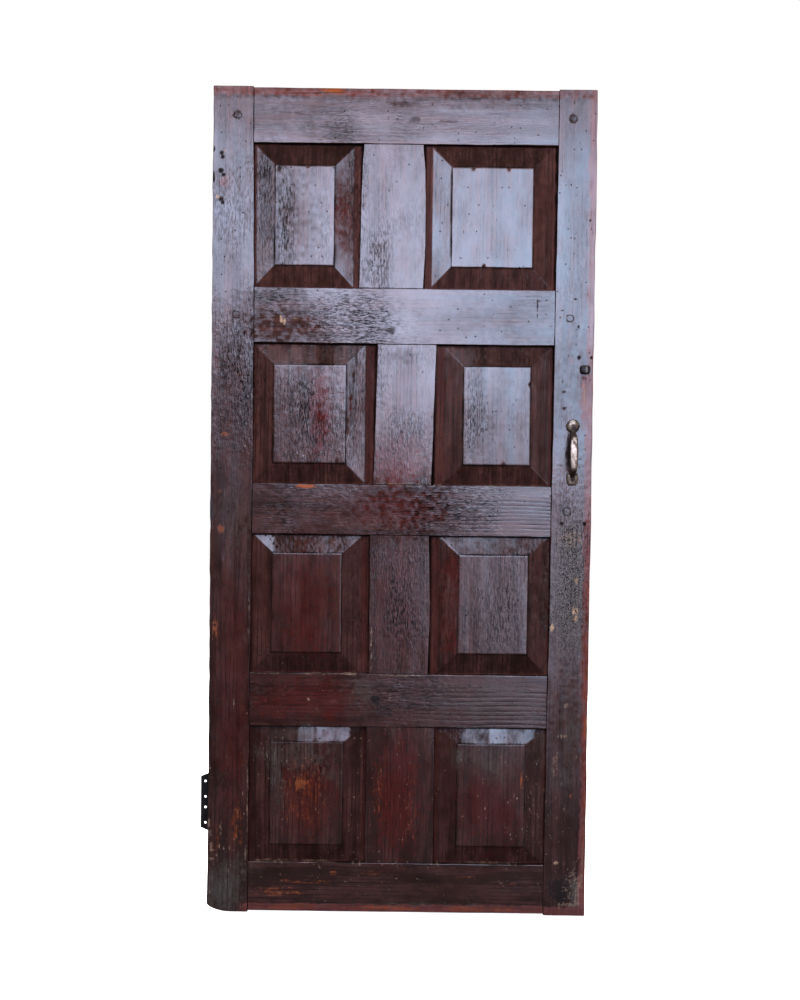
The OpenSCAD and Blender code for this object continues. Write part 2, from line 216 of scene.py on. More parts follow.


# Wear, with a few painted highlights and shadows among the marks, read off the door in millimetres: middle
# from its left edge and down from its top, half width, half height and strength of each mark
BARE = [(285, 8, 27, 9, 1), (230, 949, 28, 4.5, 0.9), (33, 828, 8, 6, 0.7), (25, 1052, 9, 12, 0.8),
        (14, 1290, 7, 34, 0.7), (222, 1668, 17, 16, 0.85), (305, 1883, 8, 7, 0.7),
        (72, 1775, 13, 55, 0.55), (67, 1757, 5, 7, 0.7), (400, 1882, 28, 5, 0.5),
        (170, 1930, 60, 12, 0.6), (22, 965, 6, 8, 0.5), (270, 1640, 4, 14, 0.5), (240, 1720, 5, 28, 0.35),
        (757, 1655, 5, 19, 0.68), (878, 1690, 9, 7, 0.5), (415, 1680, 16, 90, 0.4),
        (490, 1740, 14, 90, 0.35), (905, 1450, 5, 16, 0.6), (620, 1890, 50, 4, 0.4),
        (730, 1905, 30, 4, 0.4), (230, 1905, 60, 8, 0.5), (200, 1967, 90, 8, 0.6),
        (420, 1967, 120, 8, 0.6), (660, 1967, 120, 8, 0.6), (908, 1420, 5, 300, 0.55),
        (908, 1800, 5, 150, 0.55), (230, 1690, 60, 90, 0.4), (20, 1800, 12, 50, 0.4)]
CHIPS_AND_GLINTS = [(872, 1955, 26, 5, 0.44), (896, 1925, 8, 34, 0.44), (881, 1168, 6, 6, 1), (879, 1241, 6, 9, 1),
         (880, 1260, 6.5, 10, 1), (824, 1283, 4, 9, 0.9), (842, 1852, 5, 3, 1), (3, 1765, 3, 12, 0.5),
         (7, 1790, 3, 14, 0.45), (9, 1822, 3, 14, 0.5), (31, 1765, 2, 16, 0.42), (31, 1795, 2, 16, 0.42),
         (28, 1824, 2, 14, 0.45), (22, 1844, 6, 3, 0.45), (10, 1852, 8, 3, 0.45),
         (868, 1066, 34, 22, 0.35), (893, 725, 8, 40, 0.35), (905, 1880, 4, 55, 0.4),
         (862, 1470, 8, 7, 0.45), (850, 1545, 13, 5, 0.4), (836, 1610, 9, 28, 0.35),
         (166, 551, 3, 8, 0.8), (174, 556, 3, 8, 0.8), (200, 548, 5, 3, 0.7), (12, 262, 4, 5, 0.7),
         # From (91, 1838) on, the long marks only 2.5 to 3 mm across are pale lines along worn arrises of
         # rails, stiles and muntins: painted highlights where light catches the arrises, with some pale dust
         # on the ledges
         (30, 152, 3, 4, 0.6), (240, 1462, 4, 5, 0.6), (60, 1470, 3, 12, 0.5), (91, 1838, 3, 22, 0.5),
         (150, 1857, 50, 2.5, 0.36), (260, 1857, 60, 2.5, 0.36), (150, 1400, 45, 2.5, 0.3),
         (260, 1400, 60, 2.5, 0.34), (340, 1400, 18, 2.5, 0.45), (450, 1402, 60, 2.5, 0.42),
         (470, 942, 90, 2.5, 0.4), (700, 943, 100, 2.5, 0.3), (680, 1857, 80, 2.5, 0.3),
         (95, 1240, 2.5, 130, 0.3), (95, 1700, 2.5, 130, 0.34), (390, 1330, 3, 60, 0.36),
         (52, 1880, 2, 6, 0.5)]
SOIL_AND_SHADOWS = [(20, 158, 5, 5, 1), (24, 168, 5, 4, 1), (20, 200, 6, 5, 1), (26, 210, 4, 4, 1),
        (20, 268, 6, 6, 1), (25, 276, 5, 5, 1), (2, 215, 3, 14, 1), (2, 150, 3, 6, 1),
        (844, 1031, 5, 5, 1), (898, 1031, 5, 5, 1), (867, 495, 3, 3, 1), (877, 561, 3, 4, 1),
        (844, 716, 5, 3, 0.75), (845, 755, 5, 3, 0.8), (878, 634, 4, 4, 1), (908, 634, 3, 4, 1),
        (900, 308, 3, 4, 1), (480, 75, 13, 8, 0.6), (430, 575, 15, 9, 0.6), (778, 512, 1.6, 24, 1),
        (893, 682, 9, 5, 0.5), (840, 692, 3, 6, 0.6), (852, 1920, 30, 36, 0.75), (402, 1462, 16, 12, 0.8),
        # The mark at (857, 860) on the next line is painted shadow and reflection of the bow pull in the
        # glossy stile: a dark band left of the bow
        (425, 1488, 20, 12, 0.6), (857, 860, 6, 44, 0.95), (4, 1010, 5, 34, 0.7), (128, 205, 12, 14, 0.5),
        (4, 780, 4, 10, 0.7), (150, 1070, 3, 4, 0.9), (145, 1079, 3, 4, 0.9), (152, 1087, 3, 4, 0.9),
        (160, 1095, 4, 3, 0.9)]
PINK = [(27, 225, 11, 14, 0.8), (862, 640, 8, 13, 0.5), (895, 738, 12, 62, 0.95), (12, 640, 9, 40, 0.4),
        (300, 1468, 10, 8, 0.5)]
RED = [(334, 755, 4, 26, 0.9), (578, 1230, 24, 120, 0.6), (450, 1230, 60, 150, 0.4),
       (262, 770, 26, 100, 1), (240, 1690, 80, 110, 0.6), (235, 1230, 70, 130, 0.5),
       (460, 1690, 60, 150, 0.7), (240, 1460, 130, 50, 0.6), (680, 1720, 80, 110, 0.5),
       (60, 1500, 35, 300, 0.45), (480, 1000, 110, 45, 0.5), (330, 1010, 80, 40, 0.3),
       (190, 12, 70, 8, 0.6), (350, 14, 50, 8, 0.5), (450, 880, 60, 60, 0.8), (500, 12, 60, 8, 0.5),
       (314, 300, 26, 130, 0.4)]
DULL = [(446, 38, 36, 7, 0.75), (660, 41, 160, 8, 0.4), (184, 61, 90, 1.8, 0.6), (559, 79, 17, 2.2, 0.8),
        (450, 634, 34, 14, 0.32), (347, 640, 3.5, 26, 0.95), (341, 690, 3.5, 34, 0.95),
        (334, 745, 4, 34, 0.95), (328, 800, 3.5, 36, 0.85), (680, 1690, 80, 110, 0.3),
        (160, 570, 92, 44, 1), (150, 515, 80, 40, 0.5), (460, 1004, 125, 75, 0.9),
        (300, 1020, 120, 40, 0.7), (264, 775, 20, 88, 0.7), (285, 108, 50, 24, 0.3),
        (180, 70, 110, 60, 0.35), (190, 300, 60, 130, 0.45), (868, 690, 45, 110, 0.3),
        (868, 100, 45, 90, 0.1), (60, 710, 60, 130, 0.56), (60, 900, 50, 140, 0.05),
        (210, 770, 90, 130, 0.5), (55, 240, 60, 300, 0.12), (240, 1225, 90, 140, 0.55),
        (170, 1000, 80, 60, 0.65), (690, 545, 130, 70, 0.22), (440, 300, 60, 190, 0.1),
        (687, 775, 90, 130, 0.2), (868, 1530, 45, 140, 0.75), (450, 1230, 60, 150, 0.12),
        (250, 12, 280, 16, 0.78), (650, 12, 280, 16, 0.76), (908, 1500, 12, 330, 0.85),
        (500, 1968, 420, 12, 0.5)]
HAZE = [(578, 1230, 24, 120, 0.4), (892, 1928, 16, 46, 1), (680, 1225, 95, 130, 0.3),
        (868, 1190, 48, 170, 0.9), (868, 1500, 48, 200, 0.4), (230, 1600, 80, 50, 0.5),
        (700, 1465, 140, 60, 0.5), (200, 1000, 100, 60, 0.2), (40, 1915, 48, 60, 0.66),
        (60, 1025, 45, 80, 0.4), (500, 1967, 420, 12, 0.6), (150, 1440, 60, 30, 0.3),
        (370, 1440, 40, 40, 0.5), (680, 1600, 80, 40, 0.45), (170, 1700, 20, 110, 0.4)]
CRAZE = [(868, 1150, 48, 180, 0.85), (330, 555, 80, 60, 1), (450, 850, 70, 90, 0.48),
         (170, 330, 24, 110, 0.9), (120, 195, 24, 30, 1), (560, 1000, 90, 60, 0.9),
         (150, 500, 60, 30, 0.8), (50, 330, 45, 120, 0.3), (340, 300, 22, 120, 0.8),
         (345, 780, 26, 120, 0.8), (450, 1230, 60, 150, 0.9), (300, 95, 70, 40, 0.5),
         (430, 85, 120, 40, 0.3), (135, 300, 24, 110, 0.8), (630, 800, 30, 90, 0.6),
         (60, 690, 50, 140, 1), (680, 1225, 80, 120, 0.7), (700, 1465, 140, 55, 0.3),
         (60, 1000, 50, 120, 0.4), (230, 780, 80, 110, 0.8), (200, 1000, 100, 50, 0.7),
         (480, 1460, 90, 60, 0.8), (450, 690, 60, 60, 0.2), (395, 410, 35, 70, 0.7)]
SPRAY = [(884, 1912, 24, 58, 1.25), (770, 1740, 34, 90, 0.6), (400, 1850, 60, 20, 0.4),
         (30, 1800, 30, 60, 0.5)]
# Where the strips of pink primer begin: down from the top, from the left and down to the foot
PRIMED_TOP, PRIMED_SIDE, PRIMED_FOOT = 24, 894, 1956
# How near the outline a point is on the outer edges, how deep wear goes there, elsewhere and for primer,
# and over what depth it fades
OUTER, ROUND, DEEP, FRAMING_DEEP, FADE = 2, 8, 24, 12, 6
# The layers of wear that a piece stores, in two colours with alpha; they also carry painted highlights along
# arrises and painted shade and shadows in recesses, on panel slopes and behind the pull
LAYERS = {"wear": ("bare", "primer", "soil_and_shade", "chip_and_glint"), "film": ("haze", "red", "dull", "craze")}


def span(node):
    """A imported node's corners in door millimetres."""
    low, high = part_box(node)
    return [(v - c) / MM for v, c in zip(low, CORNER)], [(v - c) / MM for v, c in zip(high, CORNER)]


def peg_places():
    """Middles of the pegs, across and up the door, in millimetres."""
    low, high = span("tenon_pegs")
    sides = (low[0] + PEG_RADIUS, high[0] - PEG_RADIUS)
    return [(x, (lo[2] + hi[2]) / 2) for lo, hi in map(span, RAILS) for x in sides]


def blots(x, down, marks, seed, soft=0.8):
    """Ragged patches at the marks: middle, half width, half height and strength of each."""
    total = np.zeros(len(x))
    rough = 0.35 * ripple(x, down, 8, 8, seed) + 0.2 * ripple(x, down, 3.1, 3.1, seed + 1)
    for mx, my, wide, high, strength in marks:
        near = (abs(x - mx) < 2 * wide + 4) & (abs(down - my) < 2 * high + 4)
        away = np.hypot((x[near] - mx) / wide, (down[near] - my) / high) + rough[near]
        total[near] = np.maximum(total[near], strength * np.clip((1.05 + soft / 2 - away) / soft, 0, 1))
    return total


def reach(points, inner):
    """How far wear goes: a little way round the outer edges of the door, and elsewhere as inner says."""
    x, y, down = points[:, 0], points[:, 1], HEIGHT - points[:, 2]
    outer = (x < OUTER) | (x > WIDTH - OUTER) | (down < OUTER) | (down > HEIGHT - OUTER)
    return np.where(outer, ramp(y, ROUND, -FADE), inner)


def layers_of(points):
    """The amount of each layer of wear at points of the door, from 0 to 1."""
    x, y, down = points[:, 0], points[:, 1], HEIGHT - points[:, 2]
    front = reach(points, ramp(y, DEEP, -FADE))
    wave = ripple(x, down, 60, 60, 3)
    fine = ripple(x, down, 9, 9, 4)
    bare = blots(x, down, BARE, 11)
    chip_and_glint = blots(x, down, CHIPS_AND_GLINTS, 13)
    soil_and_shade = blots(x, down, SOIL_AND_SHADOWS, 17)
    pink = blots(x, down, PINK, 19)
    dull = blots(x, down, DULL, 29, 1.2) * (0.85 + 0.35 * fine)
    for i, (px, pz) in enumerate(peg_places()):
        if i in COVERED_PEGS:
            continue
        away = np.hypot(x - px, points[:, 2] - pz)
        ring = np.clip(1.5 - abs(away - PEG_RADIUS - 0.4) / 1.3, 0, 1)
        soil_and_shade = np.maximum(soil_and_shade, ring * np.clip(0.55 + 0.9 * ripple(x, down, 9, 9, 47 + i), 0, 1))
        dull = np.maximum(dull, PEG_DULL[i] * (away < PEG_RADIUS) * (0.8 + 0.5 * ripple(x, down, 6, 6, 48)))
    strength = np.interp(x, [0, 30, 330, 420, 900], [0.6, 0.76, 0.72, 0.54, 0.5])
    top = ramp(down, PRIMED_TOP + 2.5 * fine + 2 * wave, -4) * strength
    strength = np.interp(down, [0, 300, 700, 1000], [0.75, 0.9, 0.85, 1])
    side = ramp(x, PRIMED_SIDE - 2 * fine - 3 * wave, 5) * strength
    strength = np.interp(x, [0, 60, 97, 817, 900], [0, 0, 1, 0.9, 0.8])
    foot = ramp(down, PRIMED_FOOT - 2.5 * fine, 4) * strength
    framing = ramp(y, FRAMING_DEEP, -3)
    pink = np.maximum(pink, np.maximum(np.maximum(top, side), foot) * framing)
    red = blots(x, down, RED, 23) + 0.2 * np.clip(wave, 0, 1)
    red += 0.5 * ramp(x, 880, 10) * ramp(down, 1200, 200) * pink
    low = ramp(down, 1250, 300)
    haze = blots(x, down, HAZE, 31, 1.2) + 0.35 * low * np.clip(ripple(x, down, 40, 55, 33), 0, 1)
    craze = np.clip(blots(x, down, CRAZE, 37, 1.5) + 0.3 * ripple(x, down, 45, 80, 41), 0, 1)
    few = 0.76 - 0.38 * blots(x, down, SPRAY, 45)
    spatter = np.clip(ripple(x, down, 3.1, 4.5, 43) - few, 0, 1) * 4 * ramp(down, 1200, 400)
    pits = np.clip(ripple(x, down, 4.4, 5.5, 53) - 0.84, 0, 1) * 8
    soil_and_shade = np.maximum(soil_and_shade, pits * ramp(x, 480, 200) * ramp(down, 1080, -80))
    chip_and_glint = np.maximum(chip_and_glint, np.clip(spatter, 0, 0.46))
    layers = {"bare": bare, "primer": pink, "soil_and_shade": soil_and_shade, "chip_and_glint": chip_and_glint, "haze": haze, "red": red,
              "dull": dull, "craze": craze}
    return {label: np.clip(amount * front, 0, 1) for label, amount in layers.items()}


def placed(piece, node):
    """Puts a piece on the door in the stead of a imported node."""
    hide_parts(node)
    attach(piece, "door")


def lay_on(piece, layer, amount):
    """Raises one layer of wear to an amount that the maker of the piece worked out."""
    label = "wear" if layer in LAYERS["wear"] else "film"
    column = LAYERS[label].index(layer)
    data = piece.data.attributes[label].data
    layers = np.zeros(len(data) * 4, np.float32)
    data.foreach_get("color", layers)
    layers = layers.reshape(-1, 4)
    layers[:, column] = np.clip(np.maximum(layers[:, column], amount), 0, 1)
    data.foreach_set("color", layers.ravel())


# Finishes

def add(tree, kind, links=(), **settings):
    """Adds a node with its settings, and sets or links its inputs."""
    node = tree.nodes.new(kind)
    for name, value in settings.items():
        setattr(node, name, value)
    for key, value in dict(links).items():
        if isinstance(value, bpy.types.Node):
            value = next(o for o in value.outputs if o.enabled)
        if isinstance(value, bpy.types.NodeSocket):
            tree.links.new(value, node.inputs[key])
        else:
            node.inputs[key].default_value = value
    return node


def ranged(tree, value, low, high, to_low=0.0, to_high=1.0, smooth=False):
    """A value between two limits, taken over to between two others."""
    limits = {0: value, 1: low, 2: high, 3: to_low, 4: to_high}
    kind = "SMOOTHSTEP" if smooth else "LINEAR"
    return add(tree, "ShaderNodeMapRange", limits, interpolation_type=kind).outputs[0]


def maths(tree, operation, *values, clamp=False):
    """One step of arithmetic on values."""
    return add(tree, "ShaderNodeMath", enumerate(values), operation=operation, use_clamp=clamp).outputs[0]


def times(tree, first, second):
    """A place or a colour times another, or times an amount."""
    return add(tree, "ShaderNodeVectorMath", {0: first, 1: second}, operation="MULTIPLY").outputs[0]


def mixed(tree, share, under, over):
    """Two colours mixed, by the share of the second."""
    return add(tree, "ShaderNodeMix", {0: share, 6: under, 7: over}, data_type="RGBA").outputs[2]


def soft_noise(tree, place, scale, detail=2.0, roughness=0.5):
    """Noise from 0 to 1 at a place."""
    links = {"Vector": place, "Scale": scale, "Detail": detail, "Roughness": roughness}
    return add(tree, "ShaderNodeTexNoise", links).outputs[0]


def bumped(tree, height, strength, distance, normal=None):
    """A normal tilted by a height, over another where one is given."""
    links = {"Strength": strength, "Distance": distance * MM, "Height": height}
    if normal is not None:
        links["Normal"] = normal
    return add(tree, "ShaderNodeBump", links).outputs[0]


def blank(name):
    """A new material and its tree, with only the output in it."""
    material = bpy.data.materials.new(name)
    material.use_nodes = True
    tree = material.node_tree
    tree.nodes.clear()
    return material, tree, add(tree, "ShaderNodeOutputMaterial")


def surfaced(tree, out, links):
    """Ends a material in a shader with these values."""
    shader = add(tree, "ShaderNodeBsdfPrincipled", links)
    tree.links.new(shader.outputs[0], out.inputs[0])


def per_metre(*sizes):
    """Pattern scale for lumps of these sizes in millimetres."""
    return tuple(1000 / s for s in sizes)


def varnished_pine(name, finish, tone, flake):
    """Pine under many coats of oil varnish, brushed on, crazed and worn: dark red-brown and glossy, so
    that a light in front shows in it, broken by the grain, the crazing and the dull worn places."""
    material, t, out = blank(name)
    grain = add(t, "ShaderNodeAttribute", attribute_name="grain").outputs["Vector"]
    wear = add(t, "ShaderNodeAttribute", attribute_name="wear").outputs
    film = add(t, "ShaderNodeAttribute", attribute_name="film").outputs
    bare, primer, soil_and_shade = add(t, "ShaderNodeSeparateColor", {0: wear["Color"]}).outputs
    haze, red, dull = add(t, "ShaderNodeSeparateColor", {0: film["Color"]}).outputs
    chip_and_glint, crazed = wear["Alpha"], film["Alpha"]
    noise = {}
    # The crazing and the broken fibres are drawn about twice as coarse as on the door, to show at all
    for label, sizes, detail in (("figure", (320, 19, 19), 3), ("streak", (46, 3.8, 3.8), 4),
                                 ("fibre", (24, 2.4, 2.4), 2), ("patch", (120, 52, 52), 4),
                                 ("ragged", (10, 5.5, 5.5), 5), ("craze", (flake, 2.6, 2.6), 3),
                                 ("pebble", (2.8, 2.6, 2.6), 2), ("cloud", (36, 24, 24), 3)):
        noise[label] = soft_noise(t, times(t, grain, per_metre(*sizes)), 1.0, detail, 0.6)
    # Bloomed varnish breaks up in pebbles, and the rest in flakes along the grain
    flakes = add(t, "ShaderNodeMix", {0: haze, 2: noise["craze"], 3: noise["pebble"]}).outputs[0]
    cells = {"Vector": times(t, grain, per_metre(21, 21, 21)), "Scale": 1.0}
    fleck = add(t, "ShaderNodeTexVoronoi", cells, voronoi_dimensions="2D").outputs
    # A wave's band is 0.314 of its unit, so a unit of 32 mm spaces the growth lines 10 mm apart
    bands = {"Vector": times(t, grain, per_metre(420, 32, 32)), "Scale": 1.0, "Distortion": 9.0,
             "Detail": 2.0, "Detail Scale": 0.6}
    growth = add(t, "ShaderNodeTexWave", bands, bands_direction="Y").outputs["Fac"]
    rings = ranged(t, noise["figure"], 0.40, 0.60, smooth=True)
    colour = mixed(t, rings, finish.dark, finish.warm)
    lines = ranged(t, noise["fibre"], 0.30, 0.62, 0.90, 1.05)
    mottle = ranged(t, noise["patch"], 0.32, 0.68, 0.70, 1.25)
    clouds = ranged(t, noise["cloud"], 0.33, 0.67, 0.72, 1.28)
    for factor in (lines, mottle, clouds, tone):
        colour = times(t, colour, factor)
    masks = {}
    shade = ranged(t, noise["streak"], 0.36, 0.66, 0.68, 1.22)
    for label, amount, along, spots, middle, soft in (
            ("red", red, 0.6, 1.0, 1.2, 0.5), ("haze", haze, 0.6, 1.2, 1.3, 0.3),
            ("primer", primer, 0.6, 1.0, 1.2, 0.35), ("bare", bare, 1.8, 1.9, 2.5, 0.35),
            ("soil_and_shade", soil_and_shade, 0.6, 1.0, 1.2, 0.25), ("chip_and_glint", chip_and_glint, 0.8, 1.2, 1.4, 0.2)):
        torn = maths(t, "MULTIPLY_ADD", noise["streak"], along, amount)
        torn = maths(t, "MULTIPLY_ADD", noise["ragged"], spots, torn)
        edge = ranged(t, torn, middle - soft, middle + soft, smooth=True)
        masks[label] = maths(t, "MULTIPLY", edge, amount)
        colour = mixed(t, masks[label], colour, times(t, getattr(finish, label)[:3], shade))
    dots = ranged(t, fleck["Distance"], 0.04, 0.11, 1.0, 0.0)
    few = add(t, "ShaderNodeSeparateColor", {0: fleck["Color"]}).outputs[0]
    masks["dots"] = maths(t, "MULTIPLY", dots, maths(t, "LESS_THAN", few, 0.1))
    masks["cracks"] = maths(t, "MULTIPLY", ranged(t, flakes, 0.53, 0.43), crazed)
    there = ranged(t, noise["patch"], 0.44, 0.62, 0.05, 0.7)
    masks["growth"] = maths(t, "MULTIPLY", ranged(t, growth, 0.80, 0.99), there)
    masks["pores"] = ranged(t, noise["fibre"], 0.42, 0.32)
    for label in ("dots", "cracks", "growth"):
        colour = mixed(t, masks[label], colour, finish.soil_and_shade)
    masks["scored"] = ranged(t, noise["streak"], 0.55, 0.70, smooth=True)
    aged = ranged(t, crazed, 0.0, 1.0, 0.2, 1.0)
    for label in ("scored", "growth", "pores"):
        masks[label] = maths(t, "MULTIPLY", masks[label], aged)
    uneven = ranged(t, noise["ragged"], 0.3, 0.7, 0.92, 1.45)
    masks["dull"] = maths(t, "MULTIPLY", uneven, dull, clamp=True)
    gloss = ranged(t, noise["patch"], 0.35, 0.65, 0.10, 0.20)
    shine = ranged(t, noise["patch"], 0.35, 0.65, 0.92, 0.74)
    for label, rougher, loss in (
            ("scored", 0.22, 0.45), ("dull", 0.05, 0.97), ("haze", 0.10, 0.30), ("primer", 0.14, 0.0),
            ("bare", 0.30, 0.7), ("chip_and_glint", 0.35, 0.7), ("soil_and_shade", 0.35, 0.85), ("dots", 0.4, 0.85),
            ("cracks", 0.15, 0.85), ("growth", 0.1, 0.5), ("pores", 0.1, 0.35)):
        gloss = maths(t, "MULTIPLY_ADD", masks[label], rougher, gloss)
        shine = maths(t, "MULTIPLY", shine, maths(t, "MULTIPLY_ADD", masks[label], -loss, 1.0))
    normal = bumped(t, maths(t, "MULTIPLY", noise["streak"], aged), 1.0, 0.35)
    normal = bumped(t, noise["fibre"], 1.0, 0.1, normal)
    normal = bumped(t, maths(t, "MULTIPLY", flakes, crazed), 1.0, 0.5, normal)
    surfaced(t, out, {"Base Color": colour, "Roughness": gloss, "IOR": 1.5, "Specular IOR Level": shine,
                      "Normal": normal})
    return material


def blacked_iron(name, finish):
    """Wrought iron, blacked and oiled: near black, dull, with a hammered unevenness and brown rust bloom,
    and a lighter grey where a highlight is painted on it."""
    material, t, out = blank(name)
    place = add(t, "ShaderNodeTexCoord").outputs["Object"]
    hammer = soft_noise(t, place, 1000 / 6, 3.0)
    bloom = soft_noise(t, place, 1000 / 14, 5.0, 0.7)
    rub = add(t, "ShaderNodeAttribute", attribute_name="rub").outputs["Fac"]
    colour = mixed(t, ranged(t, bloom, 0.54, 0.72), finish.iron, linear("#33201a"))
    # Lighter grey where a highlight is painted
    colour = mixed(t, rub, colour, linear("#77716b"))
    gloss = ranged(t, bloom, 0.3, 0.7, 0.34, 0.62)
    surfaced(t, out, {"Base Color": colour, "Roughness": gloss, "Metallic": 0.6,
                      "Normal": bumped(t, hammer, 0.8, 0.5)})
    return material


def brass_rubbed_and_glinting(name, finish):
    """Cast brass: a sand-cast skin gone brown in the hollows, rubbed to a pale gold gloss where hands
    hold it, with highlights, shade and reflections painted in as well."""
    material, t, out = blank(name)
    place = add(t, "ShaderNodeTexCoord").outputs["Object"]
    rub = add(t, "ShaderNodeAttribute", attribute_name="rub").outputs["Fac"]
    cast = soft_noise(t, place, 1000 / 5, 5.0, 0.65)
    pit = soft_noise(t, place, 1000 / 1.6)
    dent = soft_noise(t, place, 1000 / 11, 1.0)
    bright = ranged(t, maths(t, "MULTIPLY_ADD", cast, 0.9, rub), 0.70, 1.15, smooth=True)
    colour = mixed(t, bright, finish.tarnish, finish.brass)
    gloss = ranged(t, bright, 0.0, 1.0, 0.62, 0.32)
    metal = ranged(t, bright, 0.0, 1.0, 0.35, 1.0)
    normal = bumped(t, pit, 0.6, 0.35, bumped(t, dent, 1.0, 1.1))
    surfaced(t, out, {"Base Color": colour, "Roughness": gloss, "Metallic": metal, "Normal": normal})
    return material


def finish_named(name, make, *details):
    """The finish of that name, made the first time it is asked for."""
    return bpy.data.materials.get(name) or make(name, *details)


# Framing

# How far the inner edges of the stiles and the edges of the muntins wander, at places down the door
STILE_INNER = {"hinge_stile": ([0, 470, 900, 1400, 1981], [-1, 4, 4, 1, 1]),
               "lock_stile": ([0, 950, 1850, 1981], [6, 1, -4, -4])}
MUNTIN_EDGES = {"muntin_1": (([140, 250, 460], [5, 0, -3]), ([140, 200, 280, 400, 470], [-5, 0, 2, 1, -2])),
                "muntin_2": (([620, 940], [5, -2]), ([620, 940], [3, -5])),
                "muntin_3": (([1070, 1230, 1390], [0, 0, 0]), ([1070, 1230, 1390], [-4, 1, -3])),
                "muntin_4": (([1530, 1850], [0, 0]), ([1530, 1850], [0, 0]))}
# How far the outer edge of the hinge stile is rubbed in, at heights above the foot
WORN_FOOT = ([0, 2, 4.6, 7.7, 11.6, 16.7, 38, 85, 125, 165, 1981],
             [50, 35, 23, 14, 5, -1.5, -2.5, -1.5, -0.4, 0, 0])
# The end of a tenon: its least height, how far it goes in and stands out, and its rounding
TENON_LOW, TENON_IN, TENON_OUT, TENON_EDGE = 36, 5, 0.25, 0.5
# Points round a bar: their turns on an arris, their depths on a side and their shares of the back
ARRIS_TURN = np.radians([22.5, 45, 67.5])
SIDE_DEPTHS = np.array([4, 9, 15, 26, 36.0])
BACK_SHARES = np.linspace(1, 0, 9)
# Depth of the grooves between ridges of hard grain
RIDGE_DEPTH = 0.28


def hinge_edge(z):
    """Wear of the outer edge of the hinge stile."""
    return np.interp(z, *WORN_FOOT) + 0.7 * ripple(z, 0 * z, 26, 1, 61) + 0.5


def lock_edge(z):
    """Wear of the outer edge of the lock stile."""
    return 0.8 * ripple(z, 0 * z, 55, 1, 62) - 0.6


def wandering(places):
    """An edge that wanders by amounts at places down the door."""
    return lambda z: np.interp(HEIGHT - z, *places)


def tenon_end(node, side, edge):
    """End grain of a rail's through tenon, flush with the outer edge of a stile: its rings of points."""
    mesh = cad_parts[node].data
    corners = np.array([v.co for v in mesh.vertices]) / MM - np.array(CORNER) / MM
    tip = corners[corners[:, 0] < 1] if side < 0 else corners[corners[:, 0] > WIDTH - 1]
    low, high = tip.min(0), tip.max(0)
    rings = []
    for z in np.linspace(max(low[2], TENON_LOW), high[2], 15):
        out = float(edge(np.array(z))) + side * TENON_OUT
        inside, round_off = out - side * TENON_IN, out - side * TENON_EDGE
        loop = [(inside, low[1]), (round_off, low[1]), (out, low[1] + TENON_EDGE),
                (out, high[1] - TENON_EDGE), (round_off, high[1]), (inside, high[1])]
        rings.append(np.array([(px, py, z) for px, py in loop[::side]]))
    return rings


def bar_ring(lo, hi, near, far, a, c, front):
    """Points round a bar with arrises of radius a: the front at places c, then round by side and back."""
    sin, cos = a * np.sin(ARRIS_TURN), a * np.cos(ARRIS_TURN)
    inner = lo + a + (hi - lo - 2 * a) * BACK_SHARES
    return np.concatenate([
        np.stack([c, front], -1),
        np.stack([hi - a + sin, near + a - cos], -1),
        np.stack([0 * SIDE_DEPTHS + hi, SIDE_DEPTHS], -1),
        np.stack([hi - a + cos, far - a + sin], -1),
        np.stack([inner, 0 * inner + far], -1),
        np.stack([lo + a - sin, far - a + cos], -1),
        np.stack([0 * SIDE_DEPTHS + lo, SIDE_DEPTHS[::-1]], -1),
        np.stack([lo + a - cos, near + a - sin], -1)])


def member(name, along, ends, across, wood, material, low_edge=None, high_edge=None, seed=0, ridges=None,
           islands=()):
    """One length of framing: a long bar with worn arrises, waves in its faces and wandering edges."""
    pitch, arris, relief = wood.pitch / MM, wood.arris / MM, wood.relief / MM
    s = ends[0] + spaced(ends[1] - ends[0], pitch)
    tau = spaced(across[1] - across[0] - 2 * arris, pitch * (0.6 if ridges else 1))
    tau = tau / tau[-1]
    low = across[0] + (low_edge(s) if low_edge else 0 * s) + 0.35 * ripple(s, 0 * s, 70, 1, seed + 1)
    high = across[1] + (high_edge(s) if high_edge else 0 * s) + 0.35 * ripple(s, 0 * s, 70, 1, seed + 2)
    inset = np.where((s == s[0]) | (s == s[-1]), arris * 0.8, 0)
    rings = []
    for i, place in enumerate(s):
        a = arris * (1 + 0.5 * float(ripple(place, 3.0, 40, 1, seed + 5)))
        lo, hi, near = low[i] + inset[i], high[i] - inset[i], inset[i] + relief
        c = lo + a + (hi - lo - 2 * a) * tau
        at = 0 * c + place
        lumps = (c, at, 24, 150) if along == "z" else (at, c, 150, 24)
        wave = relief * ripple(*lumps, seed + 9)
        if ridges:
            wave = wave + RIDGE_DEPTH * ridges(at, c)
        loop = bar_ring(lo, hi, near, THICK - inset[i], a, c, near + wave)
        columns = [loop[:, 0], loop[:, 1], np.full(len(loop), place)]
        rings.append(np.stack(columns[::-1] if along == "x" else columns, -1))
    points, faces = lofted(rings)
    if along == "x":
        faces = [f[::-1] for f in faces]
    for rings in islands:
        more, skin = lofted(rings, len(points))
        points = np.concatenate([points, more])
        faces += skin
    piece = solid(name, points, faces, material, along, seed)
    x, y, z = points.T
    u, v = (x, z) if along == "x" else (z, x)
    gaps = (v - np.interp(u, s, low), np.interp(u, s, high) - v, u - s[0], s[-1] - u)
    seam = np.clip((1.5 + ripple(u, v, 30, 30, seed + 3) - np.min(gaps, axis=0)) / 1.6, 0, 0.9)
    lay_on(piece, "soil_and_shade", seam * reach(points, 1))
    if ridges:
        lay_on(piece, "soil_and_shade", ridges(u, v) * (y < 2))
    return piece


